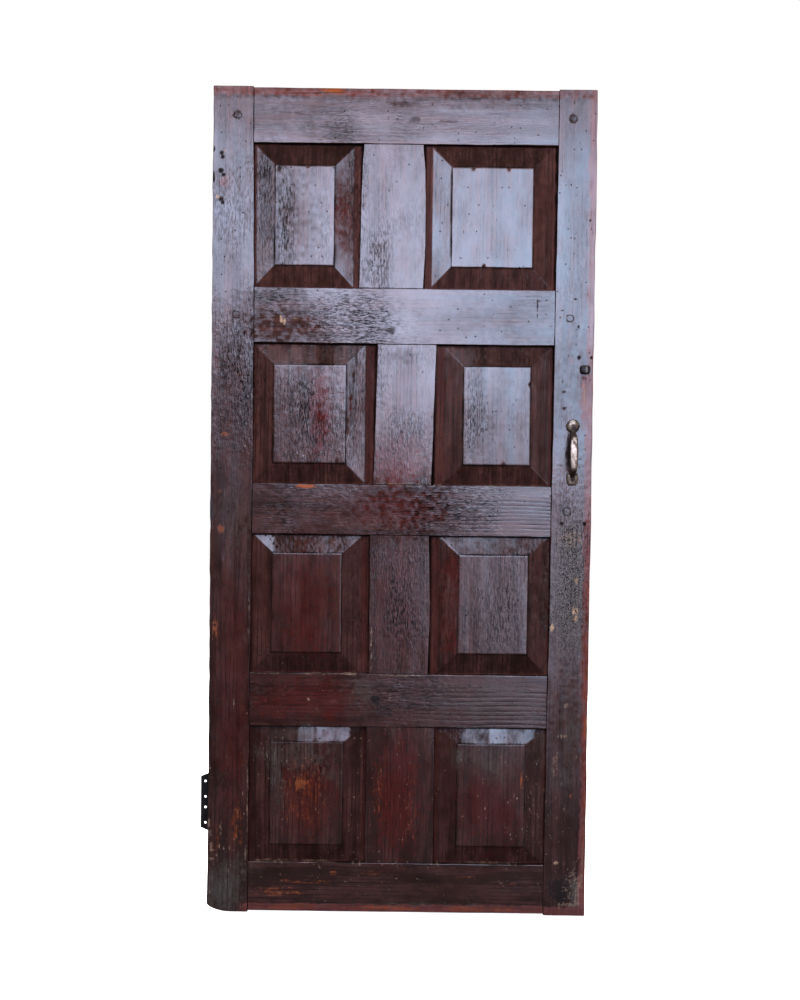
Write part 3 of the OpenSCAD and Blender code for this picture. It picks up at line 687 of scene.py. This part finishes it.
class DOOR_OT_framing(bpy.types.Operator):
    """Makes the stiles, rails and muntins with their worn edges"""

    bl_idname = "door.framing"
    bl_label = "Framing"

    def raised_grain(self, rail, start, spacing):
        """Depth, from 0 to 1, of the grooves between the ridges of hard summer growth along a rail."""
        top = span(rail)[1][2]

        def groove(x, z):
            bent = z + 3 * np.sin(x / 70) + 0.02 * (x - 700) + 1.5 * ripple(x, z, 120, 13, 63)
            there = ramp(x, start, 90) * ramp(z, top - 26, -14)
            there = there * (0.7 + 0.5 * ripple(x, z, 60, 20, 64))
            return np.clip(np.cos(2 * math.pi * bent / spacing), 0, 1) ** 3 * there
        return groove

    def execute(self, context):
        wood, finish = context.scene.door_wood, context.scene.door_finish
        pine = finish_named("varnished_pine_framing", varnished_pine, finish, (1.0, 1.0, 1.0), 11)
        joint = wood.joint / MM
        left_in, right_in = wandering(STILE_INNER["hinge_stile"]), wandering(STILE_INNER["lock_stile"])
        hinge, lock = span("hinge_stile"), span("lock_stile")
        for n, (lo, hi), low, high, seed in (("hinge_stile", hinge, hinge_edge, left_in, 100),
                                             ("lock_stile", lock, right_in, lock_edge, 200)):
            ends, across = (lo[2], hi[2]), (lo[0], hi[0])
            placed(member(n + "_worn", "z", ends, across, wood, pine, low, high, seed), n)
        outer = {-1: hinge_edge, 1: lambda z: WIDTH + lock_edge(z)}
        ridged = {"lock_rail": self.raised_grain("lock_rail", 540, 9),
                  "lower_rail": self.raised_grain("lower_rail", 440, 11)}
        for i, n in enumerate(RAILS):
            lo, hi = span(n)
            middle = (lo[2] + hi[2]) / 2
            left, right = hinge[1][0] + float(left_in(middle)), lock[0][0] + float(right_in(middle))
            tenons = [tenon_end(n, side, outer[side]) for side in (-1, 1)]
            placed(member(n + "_worn", "x", (left + joint, right - joint), (lo[2], hi[2]), wood, pine,
                          seed=300 + 20 * i, ridges=ridged.get(n), islands=tenons), n)
        for i, (n, edges) in enumerate(MUNTIN_EDGES.items()):
            lo, hi = span(n)
            ends = (span(RAILS[i + 1])[1][2] + joint, span(RAILS[i])[0][2] - joint)
            low, high = map(wandering, edges)
            placed(member(n + "_worn", "z", ends, (lo[0], hi[0]), wood, pine, low, high, 500 + 20 * i), n)
        return {"FINISHED"}


# Panels

# Nicks in the shoulders: middle from the left and down, and width
NICKS = {"panel_1_lock": [(620, 185, 5), (705, 187, 4), (648, 420, 5)],
         "panel_1_hinge": [(158, 190, 7), (226, 184, 4)],
         "panel_2_hinge": [(300, 892, 6)], "panel_2_lock": [(700, 896, 6), (764, 700, 4)]}
# Widths of the flat margins: beside the muntin in each row, beside a stile, and above and below
MARGINS, STILE_MARGIN, RAIL_MARGIN = {1: 16, 2: 22, 3: 20, 4: 8}, 5, 3
# How far a panel's edge goes into the grooves, how far in its back is from the back of the framing, and
# the depth of a nick
HIDDEN, BACK_DROP, NICK_DEPTH = 8, 18.3, 2.2
# Rings of points before the slopes of a panel and after them
FIRST_SLOPE, LAST_RINGS = 5, 3
# Painted shadow in the step round the fields of each row
STEP_SHADE = {1: 1.0, 2: 1.0, 3: 0.8, 4: 0.8}
# Painted shade on the foot, right, top and left slopes of each row, most on the top slopes, and their widths
# against the common one
SLOPE_SHADE = {1: (0.1, 0, 0.55, 0), 2: (0.45, 0, 0.5, 0), 3: (0.5, 0.4, 0.55, 0.2), 4: (0.3, 0.3, 0.4, 0.3)}
SLOPE_WIDTH = {1: (1.05, 1, 1.03, 1), 2: (0.98, 1, 1.02, 1), 3: (1, 1, 0.9, 1), 4: (0.84, 1, 0.77, 1)}
# Dullness of the foot, right, top and left slopes: an amount, or places in millimetres and amounts there
SLOPES = {"panel_1_hinge": (0.93, ([180, 230, 300, 380, 425], [0.45, 0.68, 0.82, 0.65, 0.4]), 1, 0),
          "panel_1_lock": (0.92, 0.87, 0.96, 0),
          "panel_2_hinge": (1, ([640, 700, 760, 800, 900], [0.2, 0.4, 0.5, 0.3, 0.1]),
                            ([110, 150, 240, 255, 290, 300, 360], [0.1, 0.24, 0.28, 0.88, 0.88, 0.34, 0.1]),
                            0.95),
          "panel_2_lock": (0.95, 0.6, ([560, 620, 650, 800], [0.6, 0.65, 0.95, 0.95]), 0.72),
          "panel_3_hinge": (1, 1, ([100, 150, 158, 240, 280, 330, 350],
                                   [0.1, 0.2, 0.86, 0.86, 0.72, 0.82, 0.55]), 1),
          "panel_3_lock": (1, 0.75, ([560, 680, 800], [0.5, 0.65, 0.72]), 0.12),
          "panel_4_hinge": (1, 1, ([100, 212, 218, 250, 257, 264, 338, 344],
                                   [1, 1, 0.62, 0.6, 0.95, 0.5, 0.55, 1]), 1),
          "panel_4_lock": (1, 0.2, ([606, 618, 624, 644, 650, 676, 680, 716, 722, 760, 766, 785, 790],
                                    [0.96, 0.65, 0.45, 0.45, 0.68, 0.66, 0.2, 0.25, 0.52, 0.52, 0.42, 0.42,
                                     0.95]), 0.7)}


def rectangle(x0, x1, z0, z1, across, up):
    """Points round a rectangle, the same number on each pair of sides."""
    fx, fz = np.arange(across) / across, np.arange(up) / up
    return np.concatenate([np.stack([x0 + (x1 - x0) * fx, 0 * fx + z0], -1),
                           np.stack([0 * fz + x1, z0 + (z1 - z0) * fz], -1),
                           np.stack([x1 - (x1 - x0) * fx, 0 * fx + z1], -1),
                           np.stack([0 * fz + x0, z1 - (z1 - z0) * fz], -1)])


def filled(ring, across, up, base, first):
    """Points inside a rectangle of points that starts at base, numbered from first, and quads to fill it."""
    gx = ring[0, 0] + (ring[across, 0] - ring[0, 0]) * np.arange(across + 1) / across
    gz = ring[0, 1] + (ring[across + up, 1] - ring[0, 1]) * np.arange(up + 1) / up
    inside = np.stack(np.meshgrid(gx[1:-1], gz[1:-1], indexing="ij"), -1).reshape(-1, 2)
    index = np.zeros((across + 1, up + 1), int)
    index[1:-1, 1:-1] = first + np.arange(len(inside)).reshape(across - 1, up - 1)
    index[:-1, 0] = base + np.arange(across)
    index[-1, :-1] = base + across + np.arange(up)
    index[:0:-1, -1] = base + across + up + np.arange(across)
    index[0, :0:-1] = base + 2 * across + up + np.arange(up)
    quads = np.stack([index[:-1, :-1], index[1:, :-1], index[1:, 1:], index[:-1, 1:]], -1)
    return inside, quads.reshape(-1, 4).tolist()


def panel_rings(sight, margins, slopes, wood):
    """Rings of points from a panel's edge to its field, their depths, and the points across and up."""
    pitch, bevel = wood.pitch / MM, wood.bevel / MM
    tongue, drop, shoulder = wood.tongue / MM, wood.field_drop / MM, wood.shoulder / MM
    foot, right, top, left = (bevel * share for share in slopes)
    sides = list(zip(sight, (1, -1, 1, -1), margins, (left, right, foot, top)))

    def inset(flat, slope, more=0.0):
        """The outline moved in by shares of the margins and of the slopes, and by an amount."""
        return [edge + way * (flat * margin + slope * wide + more) for edge, way, margin, wide in sides]

    x0, x1, z0, z1 = inset(1, 1)
    across, up = max(8, int((x1 - x0) / pitch)), max(8, int((z1 - z0) / pitch))
    steps = int(bevel / pitch)
    levels = [(inset(0, 0, -HIDDEN), tongue)]
    levels += [(inset(f, 0), tongue) for f in (0.0, 0.3, 0.6, 0.9)]
    climb = drop + shoulder - tongue
    levels += [(inset(1, f), tongue + climb * f) for f in np.arange(steps + 1) / steps]
    levels += [(inset(1, 1, grow), drop + depth) for grow, depth in ((0.35, 0.9), (0.9, 0.2), (1.7, 0))]
    rings = [rectangle(*outline, across, up) for outline, _ in levels]
    return rings, [depth for _, depth in levels], across, up


def nicked(name, x, down, share):
    """How deep each point of a panel is in each of its nicks, narrowed to a share of its width."""
    return [np.exp(-((x - mx) / (share * wide)) ** 2 - ((down - my) / wide) ** 2)
            for mx, my, wide in NICKS.get(name, ())]


def raised_panel(name, sight, margins, wood, material, seed):
    """A raised and fielded panel: flat edge, mitred slopes, a shoulder and the field."""
    tongue, drop = wood.tongue / MM, wood.field_drop / MM
    row = int(name.split("_")[1])
    rings, depths, across, up = panel_rings(sight, margins, SLOPE_WIDTH[row], wood)
    count, around = len(rings), len(rings[0])
    xz = np.concatenate(rings)
    field, quads = filled(rings[-1], across, up, (count - 1) * around, len(xz))
    faces = ring_faces(count, around) + quads
    xz = np.concatenate([xz, field])
    y = np.concatenate([np.repeat(depths, around), np.full(len(field), drop)])
    down = HEIGHT - xz[:, 1]
    raised = ramp(y, tongue, drop - tongue)
    xz = xz + np.stack([0.5 * ripple(xz[:, 0], down, 38, 38, seed + k) * raised for k in (3, 4)], -1)
    y = y + 0.3 * ripple(xz[:, 0], down, 26, 140, seed + 5) * raised
    y = y + 0.12 * ripple(xz[:, 0], down, 11, 60, seed + 6)
    for notch in nicked(name, xz[:, 0], down, 0.5):
        y = y + NICK_DEPTH * raised * notch
    y = np.minimum(y, tongue + 0.2)
    points = np.stack([xz[:, 0], y, xz[:, 1]], -1)
    rear = len(points)
    x0, x1, z0, z1 = sight
    rings = [points[:around][:, (0, 2)]]
    rings += [rectangle(x0 + g, x1 - g, z0 + g, z1 - g, across, up) for g in (0.5, 5)]
    field, quads = filled(rings[-1], across, up, rear + 2 * around, rear + 3 * around)
    back = np.concatenate([*rings, field])
    back = np.stack([back[:, 0], np.full(len(back), THICK - BACK_DROP), back[:, 1]], -1)
    points = np.concatenate([points, back])
    faces += [[i, rear + i, rear + (i + 1) % around, (i + 1) % around] for i in range(around)]
    faces += [face[::-1] for face in ring_faces(3, around, rear) + quads]
    piece = solid(name + "_worn", points, faces, material, "z", seed)
    panel_wear(piece, name, points, sight, count, (across, up, across, up), tongue, seed)
    placed(piece, name)


def panel_wear(piece, name, points, sight, count, sides, tongue, seed):
    """Painted shadow round a panel's edge and in the step round its field, darker marks in its nicks, and
    the dullness and painted shade of its slopes.
    """
    x, y, z = points.T
    x0, x1, z0, z1 = sight
    row = int(name.split("_")[1])
    wander = 1.1 * ripple(x, z, 25, 25, seed + 8)
    # Dark line round the panel's edge: dirt in the groove, widened into painted shadow, widest at the top
    # under the rail above
    gaps = ((2.5, x - x0), (2, x1 - x), (1.5, z - z0), (3.5, z1 - z))
    soil_and_shade = np.max([(wide + wander - gap) / 2.2 for wide, gap in gaps], axis=0)
    # Painted shadow of the shoulder, laid in the rings of the step round the field, weaker in rows 3 and 4
    worn = STEP_SHADE[row] * (0.8 + 0.4 * ripple(x, z, 30, 30, seed + 9))
    side = np.repeat([0, 1, 2, 3], sides)
    around = len(side)
    for ring, amount in ((5, 0.5), (4, 1), (3, 1), (2, 0.9), (1, 0.45)):
        part = slice((count - ring) * around, (count - ring + 1) * around)
        soil_and_shade[part] = np.maximum(soil_and_shade[part], amount * worn[part])
    for notch in nicked(name, x, HEIGHT - z, 0.4):
        soil_and_shade = np.maximum(soil_and_shade, np.where(notch > 0.25, notch * 1.3, 0))
    lay_on(piece, "soil_and_shade", soil_and_shade)
    slope = np.zeros(len(x))
    for k in range(FIRST_SLOPE, count - LAST_RINGS):
        part = slice(k * around, (k + 1) * around)
        for i, dull in enumerate(SLOPES[name]):
            at, amount = dull if isinstance(dull, tuple) else ([0], [dull])
            far = x[part] if i % 2 == 0 else HEIGHT - z[part]
            slope[part] = np.where(side == i, np.interp(far, at, amount), slope[part])
    uneven = 0.6 * (1 - slope) * ripple(x, z, 14, 14, seed + 10) - 0.06 * (slope < 0.97)
    lay_on(piece, "dull", slope * (1 + uneven))
    # Painted shade on the slopes, by the side each faces, stronger where they are dull
    soil_and_shade = np.tile(np.array(SLOPE_SHADE[row])[side], count)
    lay_on(piece, "soil_and_shade", slope ** 2 * np.resize(soil_and_shade, len(x)))
    flat = (y > tongue - 0.5) & (y < tongue + 1)
    lay_on(piece, "dull", flat)
    lay_on(piece, "red", 0.4 * flat)


class DOOR_OT_panels(bpy.types.Operator):
    """Makes the eight raised and fielded panels"""

    bl_idname = "door.panels"
    bl_label = "Panels"

    def execute(self, context):
        wood, finish = context.scene.door_wood, context.scene.door_finish
        pine = finish_named("varnished_pine_panels", varnished_pine, finish, (1.0, 1.02, 1.0), 14)
        left, right = span("hinge_stile")[1][0], span("lock_stile")[0][0]
        for row in range(1, 5):
            top, foot = span(RAILS[row - 1])[0][2], span(RAILS[row])[1][2]
            bar = span(f"muntin_{row}")
            wide = MARGINS[row]
            for side, x0, x1, margins, seed in (
                    ("hinge", left, bar[0][0], (STILE_MARGIN, wide), 700),
                    ("lock", bar[1][0], right, (wide, STILE_MARGIN), 900)):
                margins += (RAIL_MARGIN, RAIL_MARGIN)
                name, sight = f"panel_{row}_{side}", (x0, x1, foot, top)
                raised_panel(name, sight, margins, wood, pine, seed + row * 20)
        return {"FINISHED"}


# Pegs, iron and brass

# The pull: its ends from the middles of boss and pad, the depth where the bow springs, half its thickness
END_IN, BOW_ROOT, BOW_HALF = 16, -5.5, 4.4


def lathe(profile, middle, segments, wobble=0.0, seed=0):
    """Rings of a turned piece on an axis along Y, from pairs of radius and depth, in door millimetres."""
    angle = np.arange(segments) * 2 * math.pi / segments
    rings = []
    for radius, depth in profile:
        r = radius * (1 + wobble * ripple(angle * 3, 0 * angle, 1.0, 1, seed))
        x, z = middle[0] + r * np.cos(angle), middle[1] + r * np.sin(angle)
        rings.append(np.stack([x, 0 * angle + depth, z], -1))
    return rings


def squared(values):
    """Sines or cosines drawn out, so that a round becomes a rounded square."""
    return np.sign(values) * abs(values) ** 0.6


def store_rub_and_glint(piece, amount):
    """Stores how far each point of a metal piece is rubbed, with painted highlights, shade and reflections
    in the same amounts.
    """
    piece.data.attributes.new("rub", "FLOAT", "POINT").data.foreach_set("value", amount)


def refinished(node, material):
    """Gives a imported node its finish."""
    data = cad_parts[node].data
    data.materials.clear()
    data.materials.append(material)


class DOOR_OT_pegs(bpy.types.Operator):
    """Makes the pegs that lock the tenons, flush at the front and cut off at the back"""

    bl_idname = "door.pegs"
    bl_label = "Tenon pegs"

    def execute(self, context):
        finish = context.scene.door_finish
        pine = finish_named("varnished_pine_pegs", varnished_pine, finish, (0.8, 0.85, 0.9), 8)
        points, faces = [], []
        profile = [(0.6, -0.35), (6.5, -0.45), (8.6, -0.25), (9.5, 0.35), (9.6, 2.0), (9.6, THICK - 2),
                   (9.3, THICK + 0.1), (0.6, THICK + 0.2)]
        for i, place in enumerate(peg_places()):
            sunk = COVER if i in COVERED_PEGS else 0
            rings = lathe([(r, d + sunk * (d < 1)) for r, d in profile], place, 28, 0.05, 40 + i)
            p, f = lofted(rings[::-1], sum(len(q) for q in points))
            points.append(p)
            faces += f
        pegs = solid("tenon_pegs_worn", np.concatenate(points), faces, pine, "x", 31)
        placed(pegs, "tenon_pegs")
        return {"FINISHED"}


class DOOR_OT_ironwork(bpy.types.Operator):
    """Makes the stud and blacks the hinge"""

    bl_idname = "door.ironwork"
    bl_label = "Ironwork"

    def execute(self, context):
        finish = context.scene.door_finish
        iron = finish_named("blacked_wrought_iron", blacked_iron, finish)
        for n in ("hinge_door_leaf", "hinge_frame_leaf", "hinge_pin", "hinge_screws"):
            refinished(n, iron)
        low, high = span("iron_stud")
        x, z = (low[0] + high[0]) / 2, (low[2] + high[2]) / 2
        half = (high[0] - low[0]) / 2
        nose = low[1]
        dome = ((0.04, 0), (0.2, 0), (0.38, 0.1), (0.55, 0.3), (0.7, 0.8), (0.84, 1.6), (0.97, 4), (1, 7),
                (0.95, 8.8))
        profile = [(r, nose + d) for r, d in dome] + [(0.9, 0.5), (0.4, 1.0), (0.4, 20)]
        turn = np.arange(32) * 2 * math.pi / 32
        lumps = half * (1 + 0.04 * ripple(turn * 3, 0 * turn, 1.0, 1, 77))
        across, up = lumps * squared(np.cos(turn)), 0.88 * lumps * squared(np.sin(turn))
        rings = [np.stack([x + r * across, 0 * turn + d, z + r * up], -1) for r, d in profile]
        points, faces = lofted(rings[::-1])
        stud = solid("iron_stud_forged", points, faces, iron, "z", 41, False)
        # Painted highlight: a narrow upright band of lighter metal just right of the middle of the stud's
        # face
        painted_glint = np.exp(-((points[:, 0] - x - 3) / 2) ** 2) * ramp(points[:, 1], nose + 2, -2)
        store_rub_and_glint(stud, 0.75 * painted_glint)
        placed(stud, "iron_stud")
        return {"FINISHED"}


class DOOR_OT_pull(bpy.types.Operator):
    """Makes the cast bow pull with its boss, neck and pad"""

    bl_idname = "door.pull"
    bl_label = "Bow pull"

    def execute(self, context):
        finish = context.scene.door_finish
        brass = finish_named("cast_brass_rubbed", brass_rubbed_and_glinting, finish)
        lo, hi = span("pull_handle")
        x, front = (lo[0] + hi[0]) / 2, lo[1]
        boss_z, pad_z = hi[2] - END_IN, lo[2] + END_IN
        points, faces, rub = [], [], []

        def keep(rings, bright):
            p, f = lofted(rings, sum(len(q) for q in points))
            points.append(p)
            faces.extend(f)
            rub.append(bright(p))

        # Painted highlight and shade on the boss: lighter towards the top and left, darker at the lower
        # right
        def boss_glint_and_shade(p):
            slant = 0.42 + 0.022 * (p[:, 2] - boss_z) - 0.012 * (p[:, 0] - x)
            return (-p[:, 1] > 5) * np.clip(slant, 0.1, 0.75)

        profile = [(16, 0), (16.4, 2.2), (15.6, 4.2), (13.6, 6.4), (11, 8.0), (8, 8.8), (5.6, 8.4), (2, 8.2)]
        keep(lathe([(r, -d) for r, d in profile], (x, boss_z), 40, 0.05, 5), boss_glint_and_shade)
        turn = np.arange(28) * 2 * math.pi / 28
        c, s = squared(np.cos(turn)), squared(np.sin(turn))
        steps = np.linspace(0, 1, 49)
        rings = []
        for f in steps:
            z = boss_z - 9 + (pad_z + 3 - boss_z + 9) * f
            rise = min(1, min(f, 1 - f) / 0.2)
            rise = rise * rise * (3 - 2 * rise)
            swell = math.sin(math.pi * f)
            y = BOW_ROOT + (front - BOW_ROOT + BOW_HALF) * rise * (0.88 + 0.12 * swell)
            px = x - 1.2 * swell + (5.2 + 4.8 * swell ** 0.9) * c
            rings.append(np.stack([px, y - BOW_HALF * s, 0 * px + z], -1))
        held = np.interp(steps, [0, 0.1, 0.19, 0.8, 0.9, 1], [0, 0, 0.75, 0.62, 0, 0])
        facet = np.concatenate([h * (np.sin(turn) > 0.55) for h in held])

        # The rubbed front facet of the bow, crossed by two painted dark reflections that run on a slant
        def bow_rub_and_reflections(p):
            slant = p[:, 2] - (boss_z + pad_z) / 2 + 1.6 * (p[:, 0] - x)
            dark_reflections = 0.55 * np.exp(-((slant - 22) / 5) ** 2) + 0.35 * np.exp(-((slant + 16) / 4) ** 2)
            return facet * (1 - dark_reflections)

        keep(rings, bow_rub_and_reflections)
        outline = [(-14.5, 9), (-12, 15), (-7, 11.5), (7, 11.5), (12, 15), (14.5, 9), (13, -7), (9, -15),
                   (-9, -15), (-13, -7)]
        rings = []
        for shrink, depth in ((1, 0), (1, -2.6), (0.93, -4.6), (0.8, -6.2), (0.55, -7.0), (0.2, -7.2)):
            ring = [(x + qx * shrink, depth, pad_z + qz * shrink) for qx, qz in outline[::-1]]
            rings.append(np.array(ring))
        keep(rings, lambda p: 0.4 * (-p[:, 1] > 4))
        pull = solid("pull_handle_cast", np.concatenate(points), faces, brass, "z", 51, False)
        store_rub_and_glint(pull, np.concatenate(rub))
        placed(pull, "pull_handle")
        refinished("pull_screws", brass)
        return {"FINISHED"}


# Stage

# Half the width of the floor, how far it is below the door, and the distance of the card, in metres
FLOOR_HALF, FLOOR_DROP, CARD_AWAY = 40.0, 0.001, 6.0
# The camera's place in door millimetres and its turns about X, Y and Z, found from the door's outline
CAMERA_PLACE = (459.1, -3200, 1101.3)
CAMERA_TURNS = ((-0.03113, "X"), (-0.01223, "Y"), (0.00124, "Z"), (math.pi / 2, "X"))
# Each light: name, power, size, place and target from the middle of the door, colour, mirrored, spread
LAMPS = (("fill", "fill", (2.2, 1.2), (0, -1.8, 1.2), (0, 0, 0.5), "#fff8e6", False, True),
         ("top", "top", (2.4, 0.7), (0, -0.8, 2.3), (0, 0, 0), "#dfe6ff", True, False),
         ("back_left", "back", (2.0, 2.0), (-2.4, 3.4, 1.6), (0, 0, 0), "#ffffff", True, True),
         ("back_right", "back", (2.0, 2.0), (2.4, 3.0, 0.8), (0, 0, 0), "#ffffff", True, True),
         ("edge_left", "edge", (0.45, 2.2), (-2.4, 0.35, 0), (0, 0.02, 0), "#fffaf4", False, True),
         ("edge_right", "edge", (0.45, 2.2), (2.4, 0.35, 0), (0, 0.02, 0), "#fffaf4", False, True),
         ("edge_above", "edge", (2.0, 0.45), (0, 0.35, 2.6), (0, 0.02, 0), "#fffaf4", False, True))


def flat_piece(name, corners):
    """A flat four-cornered stage piece."""
    mesh = bpy.data.meshes.new(name)
    mesh.from_pydata(corners, [], [(0, 1, 2, 3)])
    piece = bpy.data.objects.new(name, mesh)
    bpy.context.scene.collection.objects.link(piece)
    return piece


class DOOR_OT_stage(bpy.types.Operator):
    """Sets the floor, the soft lights, the white surround and the camera"""

    bl_idname = "door.stage"
    bl_label = "Stage"

    def lamp(self, name, power, size, place, target, colour, mirrored, spread):
        """A soft rectangular light out of the camera's sight, which shows in gloss if mirrored and lights
        what is matt if spread."""
        data = bpy.data.lights.new(name, "AREA")
        data.shape = "RECTANGLE"
        data.size, data.size_y = size
        data.energy = power
        data.color = linear(colour)[:3]
        lamp = bpy.data.objects.new(name, data)
        turn = (target - place).to_track_quat("-Z", "Y").to_matrix().to_4x4()
        lamp.matrix_world = Matrix.Translation(place) @ turn
        lamp.visible_camera = False
        lamp.visible_glossy = mirrored
        lamp.visible_diffuse = spread
        bpy.context.scene.collection.objects.link(lamp)

    def card(self, stage):
        """A large upright card in front of the door, lit like an open sky above a dark ground: it fades
        to its edges, and starts higher on the left than on the right."""
        card = flat_piece("light_card", [(-4.6, 0, -1.2), (3.4, 0, -1.2), (3.4, 0, 4.6), (-4.6, 0, 4.6)])
        card.location = CORNER + Vector((0, -CARD_AWAY, 0))
        card.visible_camera = card.visible_shadow = False
        material, t, out = blank("graded_light_card")
        place = add(t, "ShaderNodeTexCoord").outputs["Object"]
        x, _, z = add(t, "ShaderNodeSeparateXYZ", {0: place}).outputs
        fall = maths(t, "EXPONENT", maths(t, "MULTIPLY_ADD", x, -1 / 0.9, -0.717 / 0.9))
        skyline = maths(t, "MINIMUM", maths(t, "MULTIPLY_ADD", fall, 1.2, 0.79), 2.1)
        glow = ranged(t, maths(t, "SUBTRACT", z, skyline), -0.55, 0.65, smooth=True)
        for side, dark, light in ((z, 4.15, 2.9), (x, 3.2, 1.9), (x, -4.5, -1.9)):
            glow = maths(t, "MULTIPLY", glow, ranged(t, side, dark, light, smooth=True))
        low = maths(t, "MULTIPLY", ranged(t, z, -1.2, 0.2, 0.0, 0.41), ranged(t, x, 0.5, 1.3))
        glow = maths(t, "MAXIMUM", glow, low)
        blue = maths(t, "MULTIPLY", ranged(t, x, 0.4, 1.8, 0.0, 0.9), ranged(t, x, 2.35, 2.0))
        blue = maths(t, "MAXIMUM", blue, ranged(t, x, -0.2, -0.9, 0.0, 0.6))
        tint = mixed(t, blue, linear("#dadeff"), linear("#b6d9ff"))
        full = maths(t, "MAXIMUM", ranged(t, glow, 0.05, 0.85), blue)
        tint = mixed(t, full, linear("#ffd3e0"), tint)
        lit = add(t, "ShaderNodeEmission", {0: tint, 1: maths(t, "MULTIPLY", glow, stage.card)})
        t.links.new(lit.outputs[0], out.inputs[0])
        card.data.materials.append(material)

    def floor(self, stage):
        """A wide pale floor just below the door, which shines a little so that it stays white."""
        far, foot = FLOOR_HALF, CORNER.z - FLOOR_DROP
        corners = [(-far, -far, foot), (far, -far, foot), (far, far, foot), (-far, far, foot)]
        floor = flat_piece("floor", corners)
        floor.visible_glossy = floor.visible_diffuse = False
        material, t, out = blank("pale_studio_floor")
        cloud = soft_noise(t, add(t, "ShaderNodeTexCoord").outputs["Object"], 0.6)
        tint = mixed(t, cloud, stage.floor, linear("#ffffff"))
        surfaced(t, out, {"Base Color": tint, "Roughness": 0.9, "Specular IOR Level": 0.0,
                          "Emission Color": (1, 1, 1, 1), "Emission Strength": 0.93})
        floor.data.materials.append(material)

    def surround(self):
        """A surround that the camera sees as white and that lights the door only a little."""
        world = bpy.data.worlds.new("white_surround")
        world.use_nodes = True
        t = world.node_tree
        t.nodes.clear()
        seen = add(t, "ShaderNodeBackground", {0: (1, 1, 1, 1), 1: 1.0})
        felt = add(t, "ShaderNodeBackground", {0: linear("#ccc9c8"), 1: 0.12})
        path = add(t, "ShaderNodeLightPath").outputs["Is Camera Ray"]
        add(t, "ShaderNodeOutputWorld", {0: add(t, "ShaderNodeMixShader", {0: path, 1: felt, 2: seen})})
        return world

    def camera(self, stage):
        """The camera, at the place that the door's outline gives."""
        data = bpy.data.cameras.new("photo_view")
        data.lens = stage.lens
        data.clip_end = 200
        camera = bpy.data.objects.new("photo_view", data)
        aim = Matrix.Identity(4)
        for angle, axis in CAMERA_TURNS:
            aim = aim @ Matrix.Rotation(angle, 4, axis)
        camera.matrix_world = Matrix.Translation(CORNER + Vector(CAMERA_PLACE) * MM) @ aim
        bpy.context.scene.collection.objects.link(camera)
        return camera

    def execute(self, context):
        scene, stage = context.scene, context.scene.door_stage
        self.floor(stage)
        self.card(stage)
        middle = CORNER + Vector((WIDTH / 2, 0, HEIGHT / 2)) * MM
        for name, power, size, place, target, colour, mirrored, spread in LAMPS:
            self.lamp(name, getattr(stage, power), size, middle + Vector(place), middle + Vector(target),
                      colour, mirrored, spread)
        scene.world = self.surround()
        scene.view_settings.view_transform = "Standard"
        scene.camera = self.camera(stage)
        return {"FINISHED"}


class DOOR_PT_sidebar(bpy.types.Panel):
    """Lists the door's pieces, sizes and colours"""

    bl_idname = "DOOR_PT_sidebar"
    bl_label = "Panelled front door"
    bl_space_type = "VIEW_3D"
    bl_region_type = "UI"
    bl_category = "Door"

    def draw(self, context):
        for step in STEPS:
            self.layout.operator(step.bl_idname)
        for group in (context.scene.door_wood, context.scene.door_finish, context.scene.door_stage):
            for name in group.bl_rna.properties.keys():
                if name not in ("rna_type", "name"):
                    self.layout.prop(group, name)


GROUPS = {"door_wood": DoorWoodSizes, "door_finish": DoorFinishes, "door_stage": DoorStage}
STEPS = (DOOR_OT_stage, DOOR_OT_framing, DOOR_OT_panels, DOOR_OT_pegs, DOOR_OT_ironwork, DOOR_OT_pull)


def register():
    for kind in (*GROUPS.values(), *STEPS, DOOR_PT_sidebar):
        bpy.utils.register_class(kind)
    for name, kind in GROUPS.items():
        setattr(bpy.types.Scene, name, bpy.props.PointerProperty(type=kind))


def unregister():
    for name in GROUPS:
        delattr(bpy.types.Scene, name)
    for kind in (DOOR_PT_sidebar, *reversed(STEPS), *reversed(list(GROUPS.values()))):
        bpy.utils.unregister_class(kind)


def main():
    register()
    for step in ("stage", "framing", "panels", "pegs", "ironwork", "pull"):
        getattr(bpy.ops.door, step)()


if __name__ == "__main__":
    main()
